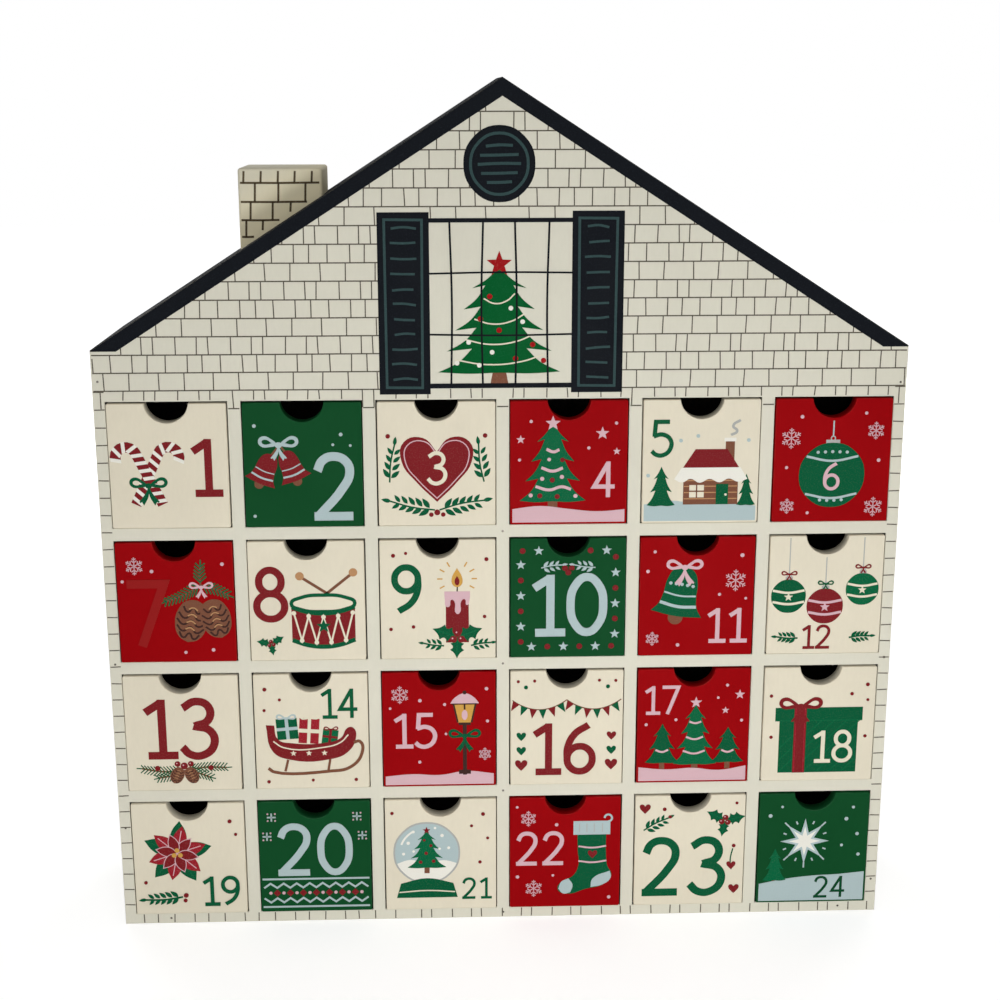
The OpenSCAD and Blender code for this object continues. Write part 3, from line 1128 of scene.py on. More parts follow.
def joint_foot(course, x, z):
    """Where a joint starts, or None behind the window and its shutters."""
    if course < 0:
        over_margin = abs(x) > -FIRST_LEFT + OFF_OPENING
        over_bar = (x - FIRST_LEFT) % COLUMN_PITCH > OPENING_WIDE + OFF_OPENING
        return z if over_margin or over_bar else FIRST_TOP + 0.6
    if WINDOW_LEFT < x < WINDOW_RIGHT and z < WINDOW_TOP < z + COURSE:
        return WINDOW_TOP
    if LEFT_SHUTTER[0] < x < RIGHT_SHUTTER[2] and z < WINDOW_TOP:
        return None
    return z


print("joints on half of the lowest course", len(joint_places(0, 0, WALL_EDGE, 0)))

# %% Shingles
shaky = random.Random(24)
level_lines, joints, margin_ticks = [], [], []
for course in range(-1, COURSES):
    z = FIRST_COURSE + COURSE * course
    reach = reach_at(z)
    spans = [(-reach, reach)]
    if course < 0 or reach <= 2:
        spans = []
    elif z < WINDOW_TOP + 3:
        spans = [(-reach, LEFT_SHUTTER[0] + 1), (RIGHT_SHUTTER[2] - 1, reach)]
    for start, end in spans:
        middle = ((start + end) / 2, z + shaky.uniform(-0.12, 0.12))
        level_lines.append([(start, z), middle, (end, z)])
    for low, high, shift in ((-reach, -0.5, LEFT_SHIFT), (0.5, reach, 0)):
        for x in joint_places((course + 1) % 3, low, high, shift):
            start = joint_foot(course, x, z)
            end = min(z + COURSE, RIDGE - JOINTS_UNDER_RIDGE - SLOPE * abs(x))
            if start is not None and end - start > 1:
                foot_x = x + shaky.uniform(-0.25, 0.25)
                joints.append([(foot_x, start), (x + shaky.uniform(-0.15, 0.15), end)])
for bar in range(COLUMNS - 1):
    left = FIRST_LEFT + OPENING_WIDE + COLUMN_PITCH * bar
    level_lines.append([(left + 0.4, BAR_LINE), (left + 5.2, BAR_LINE)])
for tick in range(TICKS):
    z = FIRST_TICK - TICK_STEP * tick
    inner = LONG_TICK_END if tick % 8 == 3 else TICK_END
    for side in (-1, 1):
        outer_end = (side * (HALF_WIDTH - 0.4), z)
        margin_ticks.append([outer_end, (side * inner, z + shaky.uniform(-0.2, 0.2))])
for x in joint_places(2, -172, -44, -4) + joint_places(0, -42, 173, 3.9):
    joints.append([(x, 0.5), (x + shaky.uniform(-0.2, 0.2), 4.7)])
house_print = Print()
house_print.rule("brick", 0.55, *level_lines)
house_print.rule("brick", 0.5, *joints)
house_print.rule("brick", 0.5, *margin_ticks)

# %% [markdown]
# ## Gable band, window and vent
# The band follows the slope and is cut level over the side walls. The shutters and the round
# vent are near black, with slats drawn in a thin grey-blue line. In the window stands a fir,
# drawn here in plain tiers with its own garlands and baubles.

# %% Band, vent and shutters
BAND_REACH = HALF_WIDTH - 0.3
BAND_INNER = (BAND_APEX - BAND_FOOT) / SLOPE
VENT_X, VENT_Z = -1.3, 345

house_print.cut("black", mirrored([
    (0, RIDGE - 0.35), (BAND_REACH, EAVE - 0.2), (BAND_REACH, BAND_FOOT), (BAND_INNER, BAND_FOOT),
    (0, BAND_APEX),
]))
house_print.fill("black", oval(VENT_X, VENT_Z, 15, 15.75))
for shutter in (LEFT_SHUTTER, RIGHT_SHUTTER):
    house_print.cut("black", corners(*shutter))
house_print.stroke("teal", 1.2, ring(VENT_X, VENT_Z, 12, 12.5))
vent_slats = []
for slat, half in enumerate((5.6, 8, 9, 7.6, 5.2)):
    z = VENT_Z + 7.4 - 3.7 * slat
    middle = (VENT_X, z + shaky.uniform(-0.2, 0.3))
    vent_slats.append([(VENT_X - half, z - 0.2), middle, (VENT_X + half, z + 0.1)])
house_print.stroke("teal", 1.2, *vent_slats)
shutter_lines, slats = [], []
for left, foot, right, top in (LEFT_SHUTTER, RIGHT_SHUTTER):
    shutter_lines.append(looped([
        (left + 3.2, foot + 3), (right - 3.4, foot + 2.8), (right - 3, top - 3.2), (left + 3, top - 3)
    ]))
    for slat in range(11):
        z = foot + 6.5 + (top - foot - 13) / 10 * slat
        x = (left + right) / 2 + shaky.uniform(-0.4, 0.4)
        half = 5 + shaky.uniform(-0.7, 0.5)
        wobble = [shaky.uniform(*range_of_z) for range_of_z in ((-0.5, 0.4), (-0.3, 0.5), (-0.4, 0.4))]
        slats.append([(x + half * step, z + lift) for step, lift in zip((-1, 0, 1), wobble)])
house_print.rule("teal", 1.1, *shutter_lines)
house_print.stroke("teal", 1, *slats)
print("shutter slats", len(slats))

# %% Window and its fir
FIR_X = -1.4
SILL_FOOT, SILL = 250.7, 252.8
WINDOW_HEAD = 321

for low, high in ((SILL_FOOT, SILL), (WINDOW_HEAD, WINDOW_TOP)):
    house_print.cut("black", corners(WINDOW_LEFT - 0.5, low, WINDOW_RIGHT + 0.5, high))
house_print.cut("brown", [(-5.2, SILL), (2.4, SILL), (1, 260), (-3.8, 260)])
house_print.fill("fir", fir_outline(FIR_X, 257.5, 52, 44.8, 5))
garlands = []
for tier, half in enumerate((6.6, 10.6, 14.6, 18.8)):
    z = 290.6 - 8.7 * tier
    sag = ((-1, -1.5), (-0.3, -3.6), (0.5, -2.4), (1, 0.6))
    garlands.append([(FIR_X + half * along, z + drop) for along, drop in sag])
house_print.stroke("cream", 0.6, *garlands)
ornaments = [(-5.5, 290), (3.5, 285), (-9.5, 280.5), (8.5, 279.2), (-1.5, 275.6), (-14.5, 270.5),
             (12.8, 269.4), (-4.5, 266.2), (5.5, 263.5), (-19.5, 261.6), (17.5, 262.5), (-10, 260.6)]
dots(house_print, "scarlet", *[(x, z, 1.15) for x, z in ornaments[::2]])
dots(house_print, "white", *[(x, z, 1) for x, z in ornaments[1::2]])
house_print.cut("scarlet", star(FIR_X, 303.6, 5.6))
mullions = [[(x, SILL), (x + 0.5 * lean, 287), (x - 0.3 * lean, WINDOW_HEAD)]
            for x, lean in ((-22, 1), (-8.5, -1), (5.5, 1), (19.4, -1))]
house_print.stroke("black", 0.85, *mullions)
house_print.stroke("black", 0.75, [(WINDOW_LEFT, 299.7), (0, 300.2), (WINDOW_RIGHT, 299.9)],
                   [(WINDOW_LEFT, 273.9), (0, 273.4), (WINDOW_RIGHT, 273.8)])
face_y = edges_of("face_panel")[0].y
house_print.finish("house_print", "house", "house_print", (0, 0, face_y))

# %% Bricks on the chimney
BRICK_ROWS = [336.5, 328.5, 320.8, 313.7]
BRICK_JOINTS = [
    (-109.8, -102.5, -95.2, -88.1, -80.8), (-105.2, -95.2, -83.7), (-107.3, -97.9, -90.2), (-109.4, -102.3)
]

low, high = edges_of("chimney")
brick_lines = []
for z in BRICK_ROWS:
    line_end = min(high.x - 1.3, (z - RIDGE) / SLOPE - 2.5)
    brick_lines.append([(low.x + 1, z), ((low.x + line_end) / 2, z - 0.1), (line_end, z + 0.05)])
for foot, top, places in zip(BRICK_ROWS, [high.z - 1.3] + BRICK_ROWS, BRICK_JOINTS):
    for x in places:
        brick_lines.append([(x, max(foot, RIDGE + SLOPE * x + 2)), (x + 0.3, top)])
chimney_print = Print()
chimney_print.rule("chimney", 0.9, *brick_lines)
chimney_print.finish("chimney_print", "house", "chimney_print", (0, 0, low.y))
print("chimney lines", len(brick_lines))

# %% [markdown]
# ## The drawers' pictures
# Each front carries its number and a small winter picture. Positions are millimetres from
# the middle of the front, which is 51 wide and 55 high, with the notch taken out above 18.
# The pictures are built from the same few outlines: leaves, stars, bows, firs and strokes.

# %% Drawer 1: two canes
CANE = [(0, -13), (0, 11)] + arc(4.4, 11, 4.4, 180, 8, 9)[1:]
STRIPE = [(-1.5, -2.3), (0.1, -2.3), (1.5, 2.3), (-0.1, 2.3)]


def print_drawer(drawer, page):
    name = f"drawer_{drawer:02d}"
    page.finish(f"{name}_print", name, f"drawer_{ground_of(drawer)}", drawer_middles[drawer])


page = Print()
for turn, flip in ((-25, False), (25, True)):
    cane = moved(CANE, -9, -4.5, turn, 1.05, flip)
    page.rule("red", 4.6, cane)
    page.cut("white", *[moved(STRIPE, *place) for place in walk(cane, 3.7)])
bow(page, "green", -9, -8.5, 0.95)
number(page, "red", "1", 9, -13, 25)
print_drawer(1, page)

# %% Drawer 2: two bells
page = Print()
page.stroke("brown", 0.9, [(-10, 9), (-14, 4)], [(-10, 9), (-6, 4)])
bell(page, "red", -18, -5.4, 1.06, -24)
bell(page, "red", -3.8, -4.2, 1.06, 22)
bow(page, "frost", -10.4, 9, 1, 0.75)
number(page, "frost", "2", 4.6, -24, 29)
dots(page, "frost", (16.5, 13.5, 0.8), (20.5, 8.6, 0.6), (13, 9, 0.6), (-20.5, 17.5, 0.8),
     (-21.5, -22.5, 0.7))
print_drawer(2, page)

# %% Drawer 3: a heart
page = Print()
sprig_pair(page, "green", 1, -20.5, 12, 20, 5, 0.5)
sprig_pair(page, "green", 20.5, -8, 98, 17, 4, 0.45)
page.fill("red", heart(0, -2.6, 3.1))
page.stroke("blush", 0.45, looped(heart(0, -2.6, 2.75)))
number(page, "cream", "3", -4.3, -9, 14.5)
dots(page, "red", (0, -21.6, 1.3), (-2.6, -22.6, 1), (2.6, -22.6, 1), (-21, 12.5, 1), (21, 12.5, 1))
print_drawer(3, page)

# %% [markdown]
# The inks that are printed first lie lowest, so a picture starts with what stands behind: a
# trunk, a hill. Snow is a pale ink with a waved upper edge, and stars fill the sky above it.

# %% Drawer 4: a fir in the snow
SNOW_FOOT = -26.6
SNOW_REACH = 24.6


def snow_ground(page, ink_name, *heights):
    """Snow from edge to edge of the front, its upper line waved through the heights."""
    last = len(heights) - 1
    outline = [(-SNOW_REACH, SNOW_FOOT, 0)]
    for index, height in enumerate(heights):
        x = SNOW_REACH * (2 * index / last - 1)
        outline.append((x, height) if 0 < index < last else (x, height, 0))
    page.fill(ink_name, outline + [(SNOW_REACH, SNOW_FOOT, 0)])


page = Print()
page.cut("brown", box(-7, -19.5, 4.2, 6))
snow_ground(page, "blush", -20.5, -19.2, -20.6, -21.8, -21)
page.fill("leaf", fir_outline(-7, -17, 29, 35, 4))
page.stroke("blush", 1.3, [(-14.5, -10.4), (-8.5, -12), (-3, -10.6), (1, -11.8)],
            [(-12, -2), (-7, -3.6), (-2.6, -2.2)], [(-9.8, 6.2), (-6.6, 5), (-4.2, 6)])
dots(page, "blush", (-3, -6.2, 0.9), (-11.6, -7, 0.9), (-8.6, 1.6, 0.8), (-16.6, -14.4, 0.9),
     (3, -14.8, 0.9))
dots(page, "red", (-7.2, -7.6, 1.1), (-2.8, 1.4, 1), (-12.6, -14.6, 1.1), (-5, -15, 1.1))
page.cut("blush", star(-7, 17.6, 3.4), star(14.5, 13, 3), star(20.8, 5, 1.7), star(-21, 10.5, 2))
dots(page, "blush", (20.5, 17.5, 0.7), (8.6, 6.6, 0.7), (-16.5, 18.5, 0.7), (-21.5, 1.5, 0.7))
number(page, "blush", "4", 10.5, -15.5, 16)
print_drawer(4, page)

# %% Drawer 5: a cabin
page = Print()
snow_ground(page, "frost", -19, -17.4, -19.2, -18.2, -20)
page.fill("green", fir_outline(-17.2, -19.5, 12.5, 17.5, 3), fir_outline(20.2, -19.5, 8.4, 14, 3))
page.cut("brown", box(4.5, -13.2, 24, 12), box(12.6, 5, 4, 9))
page.rule("tan", 0.45, *[[(-7.2, z), (16.2, z)] for z in (-16.6, -13.8, -11, -8.4)])
page.cut("red", [(-11, -7.6), (20, -7.6), (11.5, 5.6), (-2.5, 5.6)])
page.fill("white", [
    (-11.6, -7.8, 0), (-8, -9.2), (-4.4, -7.6), (-0.4, -9.4), (4, -7.7), (8.4, -9.3), (12.4, -7.6),
    (16.6, -9.1), (20.6, -7.8, 0), (17.4, -2.6, 0), (-8.4, -2.6, 0),
])
page.cut("white", box(12.6, 9.8, 5.2, 1.6))
page.cut("green", box(9.6, -14.6, 5.4, 9.2))
page.cut("cream", box(-1.6, -13.2, 6.4, 5.6))
page.rule("brown", 0.6, [(-1.6, -16), (-1.6, -10.4)], [(-4.8, -13.2), (1.6, -13.2)])
dots(page, "cream", (11.2, -14.8, 0.55))
page.stroke("grey", 1.1, [(12.8, 11.8), (15.4, 13.6), (13.6, 15.8), (16.8, 18.4)])
number(page, "green", "5", -22, 2.5, 16)
dots(page, "frost", (-9, 9.5, 0.8), (20.6, 9.5, 0.8), (-1.5, 11.5, 0.8), (-23, -6, 0.8))
print_drawer(5, page)

# %% Drawer 6: a bauble
page = Print()
page.stroke("frost", 0.6, [(0, 17.8), (0, 11)])
bauble(page, "green", 0, -6.5, 14.5, "frost", 0.58, 0.07)
dots(page, "frost", *[(x, 4 - abs(x) * 0.04, 0.7) for x in (-6.4, -3.2, 0, 3.2, 6.4)],
     *[(x, -18 + abs(x) * 0.06, 0.7) for x in (-4.8, -1.6, 1.6, 4.8)])
number(page, "blush", "6", -3.7, -13.2, 12.4)
snowflakes(page, (-18.4, 10, 4.6), (18.6, 13.2, 3.9), (19, -21, 4.4), (-19.2, -20.4, 3.4))
dots(page, "blush", (-20, -3, 0.7), (20.4, 0, 0.8), (14, 21, 0.7), (-14, 19.6, 0.8), (-10, -23.5, 0.7))
print_drawer(6, page)

# %% [markdown]
# The scales of a cone, the lacing of a drum and the rays round a flame are each one short
# line that repeats, so a loop works out where each of them goes.

# %% Drawer 7: two pine cones
CONE = mirrored([(0, -8.4, 0), (3.4, -6.8), (5.6, -2), (5.2, 3.2), (2.6, 6.8)])


def pine_cone(page, x, y, turn, size):
    """A brown cone with rows of scales and a gleam on most of them."""
    page.fill("brown", moved(CONE, x, y, turn, size))
    scales = []
    for row, half in ((4.6, 3.6), (2.2, 4.9), (-0.2, 5.2), (-2.6, 4.8), (-5, 3.6)):
        tips = [(half * step / 2, row - 1.9 * (step % 2)) for step in range(-2, 3)]
        scales.append(moved(tips, x, y, turn, size))
    page.stroke("dark", 0.7 * size, *scales)
    gleams = [[(-1.6, row), (0, row + 0.8), (1.6, row)] for row in (3.8, 1.3, -1.2, -3.7)]
    page.stroke("tan", 0.5 * size, *[moved(gleam, x, y, turn, size) for gleam in gleams])


page = Print()
for turn, length in ((205, 17), (-22, 13), (88, 9)):
    pine_branch(page, "leaf", 11, 8, turn, length, 3.8, 0.65, 1.7)
pine_cone(page, 6.4, -8, -12, 1.25)
pine_cone(page, 17, -7, 14, 1.15)
bow(page, "blush", 11.2, 7, 0.62, 0.9)
number(page, "rust", "7", -21.8, -20, 30)
snowflakes(page, (-17.5, 17, 4))
dots(page, "blush", (-23, 10, 0.7), (-10, 14.6, 0.8), (20.8, 17.6, 0.8), (3.2, -23, 0.7), (15.4, -22, 0.8))
print_drawer(7, page)

# %% Drawer 8: a drum
DRUM_X = 7

page = Print()
page.stroke("brown", 1.3, [(-3, 11.5), (13.5, 0.5)], [(20.5, 13), (5, 0.5)])
dots(page, "tan", (-3, 11.6, 1.9), (20.5, 13.1, 1.9))
page.fill("red", [
    (-7, -1, 0), (21, -1, 0), (21, -18, 0), (14, -20.4), (DRUM_X, -21.2), (0, -20.4), (-7, -18, 0)
])
page.fill("cream", oval(DRUM_X, -1, 14, 3.8))
page.stroke("green", 1.6, ring(DRUM_X, -1, 14, 3.8))
page.stroke("green", 2, [(-6.9, -18), (0, -20.4), (DRUM_X, -21.2), (14, -20.4), (20.9, -18)],
            [(-6.9, -2.6), (0, -4.9), (DRUM_X, -5.6), (14, -4.9), (20.9, -2.6)])
zigzag = []
for step in range(9):
    level = -17.4 if step % 2 else -5.4
    zigzag.append((-6 + 3.25 * step, level - 1.9 * (1 - (step / 4 - 1) ** 2)))
page.rule("cream", 0.8, zigzag)
dots(page, "cream", *[(x, y, 1) for x, y in zigzag])
page.cut("green", star(DRUM_X, -11.6, 3.4))
number(page, "red", "8", -23.4, -9, 24.5)
holly(page, -16.4, -19.5, 0.62, 10)
print_drawer(8, page)

# %% Drawer 9: a candle
CANDLE_X = 8.5

page = Print()
rays = [moved([(6.4, 0), (8.8, 0)], CANDLE_X, 9.6, turn) for turn in range(-30, 240, 30) if turn != 90]
page.rule("gold", 0.6, *rays)
page.cut("red", corners(CANDLE_X - 5.1, -20, CANDLE_X + 5.1, 3.4))
page.fill("blush", [
    (2.8, 3.8, 0), (14.2, 3.8, 0), (14, 0), (12.8, -2.6), (11.8, 0.2), (10.4, -0.6), (9.4, -6.4),
    (8.2, -6.6), (7.2, -0.8), (6, 0), (5, -3.2), (3.6, -3.2), (3, 0),
])
page.stroke("dark", 0.6, [(CANDLE_X, 3.8), (8.6, 6.4)])
flame = mirrored([(0, 14.6, 0), (2.4, 9.6), (1.9, 6.8), (0, 5.8)])
core = mirrored([(0, 11, 0), (1.1, 8.4), (0, 6.6)])
page.fill("gold", moved(flame, CANDLE_X))
page.fill("red", moved(core, CANDLE_X))
holly(page, CANDLE_X, -17.5, 1.12)
sprig(page, "green", CANDLE_X + 6, -21.5, 8, 9, 3, 0.32)
sprig(page, "green", CANDLE_X - 6, -21.5, 172, 9, 3, 0.32)
number(page, "green", "9", -20.5, -6, 22)
dots(page, "red", (-19.5, 20.5, 0.9), (-14, 21.5, 0.7), (20.6, -8, 0.8), (21.5, 18.5, 0.9),
     (-21, -13.5, 0.8), (-11, -12.5, 0.8))
print_drawer(9, page)

# %% [markdown]
# Borders and bands repeat one small mark along a line. The walk helper gives the places, and
# a loop sets a star, a dot or a flag on each.

# %% Drawer 10: a border of stars
BORDER = [(-9.5, 22), (-21, 22), (-21, -22.5), (21, -22.5), (21, 22), (9.5, 22)]

page = Print()
for index, (x, y, _) in enumerate(walk(BORDER, 7.15)):
    if index % 2:
        dots(page, "red", (x, y, 1.3))
    else:
        page.cut("frost", star(x, y, 2.3))
number(page, "frost", "10", -16.8, -17, 28)
sprig_pair(page, "frost", 12, 14.2, 172, 9.5, 3, 0.3, 0.5)
dots(page, "red", (-1.5, 14, 1.3), (1.5, 14, 1.3), (0, 12, 1.3))
print_drawer(10, page)

# %% Drawer 11: a bell
BELL_PLACE = (-8.5, -4.5)
BELL_TURN = -10
BELL_SIZE = 1.75

page = Print()
bell(page, "green", *BELL_PLACE, BELL_SIZE, BELL_TURN)
for out in (-2.9, -1.45, 0, 1.45, 2.9):
    stud = spot((out, 6 - abs(out) * 0.04), *BELL_PLACE, BELL_TURN, BELL_SIZE)
    dots(page, "frost", (*stud, 0.75))
bow(page, "blush", -5.6, 13.6, 0.95)
number(page, "blush", "11", 4.6, -21.5, 16)
snowflakes(page, (17.2, 7.4, 5), (-19.5, -19.5, 3.2))
dots(page, "blush", (19.8, 19, 0.9), (10.2, 1, 0.7), (-22, 12, 0.8), (-19, 21, 0.7), (-8, -22.5, 0.8),
     (22, -1, 0.6))
print_drawer(11, page)

# %% Drawer 12: three baubles
page = Print()
page.stroke("grey", 0.5, [(-16.5, 26.6), (-16.5, 9)], [(0, 17.6), (0, 5)], [(16.5, 26.6), (16.5, 12)])
bauble(page, "green", -16.5, -0.3, 7.8)
bauble(page, "red", 0, -5.1, 8.2, "blush")
bauble(page, "leaf", 16.5, 2.7, 7.4)
page.cut("cream", star(-16.5, -0.7, 2.1), star(16.5, 2.3, 2))
page.cut("blush", star(0, -5.5, 2.3))
for x, y in ((-16.5, 9.8), (0, 5.2), (16.5, 12.6)):
    bow(page, "red" if x else "green", x, y, 0.42, 0.7)
number(page, "red", "12", -10, -25, 11)
sprig_pair(page, "green", 11.6, -20, 4, 9.5, 4, 0.32)
print_drawer(12, page)

# %% [markdown]
# A small thing that leans is drawn upright about its own middle and then turned. A gift is
# a box, two ribbons and a bow, and a branch is a stem with needles: each helper is told the
# turn, and gives it to every part.

# %% Drawer 13: a pine branch
page = Print()
number(page, "red", "13", -18, -11.6, 28)
for turn, length in ((176, 19), (4, 19), (196, 12), (-16, 12)):
    pine_branch(page, "green", 0, -18, turn, length, 3.6)
pine_cone(page, -3.2, -20, -24, 0.52)
pine_cone(page, 3.2, -20, 24, 0.52)
dots(page, "red", (0, -15.6, 1.6), (-3, -14.6, 1.3), (3, -14.6, 1.3), (-12, -16.6, 1.2), (12, -16.6, 1.2))
dots(page, "blush", (-0.4, -15.2, 0.35), (-3.3, -14.3, 0.3), (2.7, -14.3, 0.3))
print_drawer(13, page)

# %% Drawer 14: a sleigh
def gift(page, wrap, ribbon, x, y, wide, high, turn):
    """A wrapped box with a ribbon each way and a bow on top."""
    page.cut(wrap, box(x, y, wide, high, turn))
    page.cut(ribbon, box(x, y, wide * 0.16, high, turn))
    page.cut(ribbon, box(x, y, wide, high * 0.15, turn))
    bow(page, ribbon, *spot((0, high / 2), x, y, turn), wide * 0.055, 0)


page = Print()
gift(page, "green", "frost", -11, 1.5, 9.5, 10, 4)
gift(page, "leaf", "red", 8.2, -2.6, 7, 7, -8)
gift(page, "rose", "cream", -1.2, 0.4, 9, 12, -4)
page.fill("red", [
    (-20.5, 3.4, 0), (-16.8, 3.2, 0), (-15.2, -3.6), (-9, -5.4), (6, -5.4), (13, -3.2), (16.4, 1.8),
    (18.8, 1.6), (19.8, -3.4), (15.6, -10.4), (8, -13.4), (-10, -13.4), (-17.6, -9.6),
])
page.stroke("cream", 0.6, [(-17.4, -4.4), (-13, -7.4), (5, -7.6), (13, -5.2), (16.4, -1.6)])
page.cut("cream", *[star(x, -10.3, 1.5) for x in (-8.5, -1.5, 5.5)])
page.stroke("brown", 1.1, [(-11, -13.4), (-12.4, -19)], [(8, -13.4), (7, -19)])
page.stroke("brown", 1.4, [
    (-20, -17.4), (-17.6, -19.2), (8, -19.2), (17, -17.4), (22.4, -10.6), (21.6, -5), (18.8, -5.4)
])
number(page, "green", "14", 4, 6.4, 14)
dots(page, "red", (-20.5, 20.5, 0.9), (-14, 15.5, 0.7), (-21, 10.5, 0.7), (-20, -24, 0.8),
     (19.5, -23.5, 0.8), (0, -23.5, 0.7))
print_drawer(14, page)

# %% Drawer 15: a lamp post
LANTERN_X = 11.5

page = Print()
snow_ground(page, "blush", -22.4, -21.4, -22, -20.2, -21.6)
page.stroke("dark", 1.8, [(LANTERN_X, -22), (LANTERN_X, 3)])
page.cut("dark", box(LANTERN_X, -20.6, 5.4, 2), box(LANTERN_X, 2.8, 5.4, 1.3))
page.cut("gold", [(8.4, 3.4), (14.6, 3.4), (16.4, 12), (6.6, 12)])
page.fill("blush", oval(LANTERN_X, 7, 1.3, 2.4))
page.rule("dark", 0.8, [(8.4, 3.4), (6.6, 12)], [(14.6, 3.4), (16.4, 12)],
          [(LANTERN_X, 9.6), (LANTERN_X, 12)])
page.fill("dark", [(5.4, 12, 0), (17.6, 12, 0), (14.6, 15.2), (LANTERN_X, 16.4), (8.4, 15.2)])
page.fill("blush", [(5, 12.6, 0), (18, 12.6, 0), (15.6, 15.6), (LANTERN_X, 17.4), (7.4, 15.6)])
dots(page, "dark", (LANTERN_X, 17.8, 0.9))
bow(page, "green", LANTERN_X, -3.2, 0.85)
number(page, "blush", "15", -21, -8.5, 16.5)
snowflakes(page, (-17.6, 17, 4.2), (20.6, -12, 3))
dots(page, "blush", (-8.6, 14.2, 0.8), (21.4, 19.5, 0.8), (2.5, 12.2, 0.7), (21.8, 4, 0.7), (-22, 10.6, 0.6),
     (-9, -15.5, 0.7), (3, -2, 0.6))
print_drawer(15, page)

# %% Drawer 16: flags on two strings
FLAG = [(-1.75, 0), (1.75, 0), (0, -4.6)]
STRING_SPAN = 24.6

page = Print()
for start in (-STRING_SPAN, 0):
    string = [(start + STRING_SPAN * step / 16, 9 + 4.6 * (step / 8 - 1) ** 2) for step in range(17)]
    page.stroke("brown", 0.5, string)
    for index, place in enumerate(walk(string, 4.2)):
        page.cut("green" if index % 2 else "red", moved(FLAG, *place))
number(page, "red", "16", -16, -22.2, 24.5)
page.fill("red", heart(-20.6, -18, 0.55), heart(20.4, -18, 0.55), heart(20.4, -4, 0.42))
page.fill("green", heart(-20.6, -4, 0.42), heart(20.4, -11, 0.42), heart(-20.6, -11, 0.42))
dots(page, "green", (-18.5, 19.8, 0.9), (18.5, 19.8, 0.9))
dots(page, "red", (-22, 22.6, 0.7), (22, 22.6, 0.7), (-14.6, 22.8, 0.7), (14.6, 22.8, 0.7))
print_drawer(16, page)

# %% Drawer 17: three firs
page = Print()
page.cut("brown", box(-14, -19, 2.4, 4), box(16, -19, 2.4, 4), box(1, -20, 3, 4))
snow_ground(page, "blush", -19.8, -21, -20.4, -21.6, -19.6)
page.fill("green", fir_outline(-14, -17.6, 15.5, 19, 3), fir_outline(16, -17.6, 15, 17, 3))
page.fill("leaf", fir_outline(1, -18.4, 20, 29, 4))
page.stroke("blush", 0.9, [(-4.4, -12), (0.6, -13.4), (5.6, -12)], [(-3.2, -5.2), (0.8, -6.4), (4.6, -5.2)],
            [(-1.8, 2.2), (1, 1.4), (3.6, 2.2)], [(-17, -11.4), (-14, -12.4), (-11.2, -11.4)],
            [(13.2, -11.8), (16, -12.8), (18.8, -11.8)])
page.cut("blush", star(1, 11.4, 2.8), star(14.5, 7.5, 1.8), star(20.8, 15, 2.4))
dots(page, "blush", (15, 19.6, 0.7), (-21.5, 1, 0.7), (22, 2.6, 0.7), (11, 13.6, 0.6), (-8, 3.2, 0.7))
number(page, "blush", "17", -22.8, 6, 13.5)
print_drawer(17, page)

# %% Drawer 18: a gift
page = Print()
page.cut("green", box(0, -10.5, 36, 26))
page.stroke("leaf", 0.5, *[[(x, -23.2), (x + 25.4, 2.2)] for x in (-17.8, -12, -6.2)],
            *[[(-17.8, z), (x, 2.2)] for z, x in ((-17.4, 1.8), (-11.6, -4))],
            *[[(x, -23.2), (17.8, z)] for x, z in ((-0.4, -5), (5.4, -10.8), (11.2, -16.6))])
page.cut("green", box(0, 5, 40, 6.4))
page.rule("leaf", 0.5, [(-20, 1.9), (20, 1.9)])
page.cut("red", box(-8.5, -7.6, 5.6, 32))
page.rule("rose", 0.5, *[[(x, -23.4), (x, 8.2)] for x in (-10.6, -6.4)])
bow(page, "red", -8.5, 8.6, 1.15, 0.8)
number(page, "cream", "18", -2.6, -18.6, 15.5)
dots(page, "red", (21.6, 19, 0.9), (14.6, 14.6, 0.8), (22, 11.6, 0.7), (-22.2, 14, 0.8), (-21.6, -6, 0.8),
     (21.6, -6, 0.8))
print_drawer(18, page)

# %% [markdown]
# A flower is one petal, turned about the flower's middle again and again. The green leaves
# are laid first, then the large petals and the small ones, so each row overlaps the last.

# %% Drawer 19: a poinsettia
PETAL = [(0, 0, 0), (4, 2.9), (8.6, 2.7), (13.2, 0, 0), (8.6, -2.7), (4, -2.9)]
FLOWER = (-5.5, 3)

page = Print()
for turn in range(12, 360, 72):
    page.fill("green", moved(PETAL, *FLOWER, turn, 1.22))
    page.stroke("leaf", 0.5, moved([(3, 0), (14.6, 0)], *FLOWER, turn))
for turn in range(18, 360, 60):
    page.fill("rose", moved(PETAL, *FLOWER, turn, 1.04))
    page.stroke("blush", 0.4, moved([(3.5, 0), (11.4, 0)], *FLOWER, turn))
for turn in range(48, 360, 60):
    petal = moved(PETAL, *FLOWER, turn, 0.74)
    page.fill("red", petal)
    page.stroke("blush", 0.35, looped(petal))
dots(page, "gold", (-5.5, 4.5, 1.1), (-6.9, 2.1, 1.1), (-4.1, 2.1, 1.1))
number(page, "green", "19", 5, -23.5, 14.5)
sprig(page, "green", -4, -19, 184, 17, 5, 0.4)
dots(page, "red", (-2.4, -18.2, 1.1), (-2.8, -20.8, 0.9), (19, 18.5, 0.9), (21.5, 12, 0.7),
     (-20.5, -11.5, 0.8))
print_drawer(19, page)

# %% Drawer 20: knitted bands
BAND_Z = -18

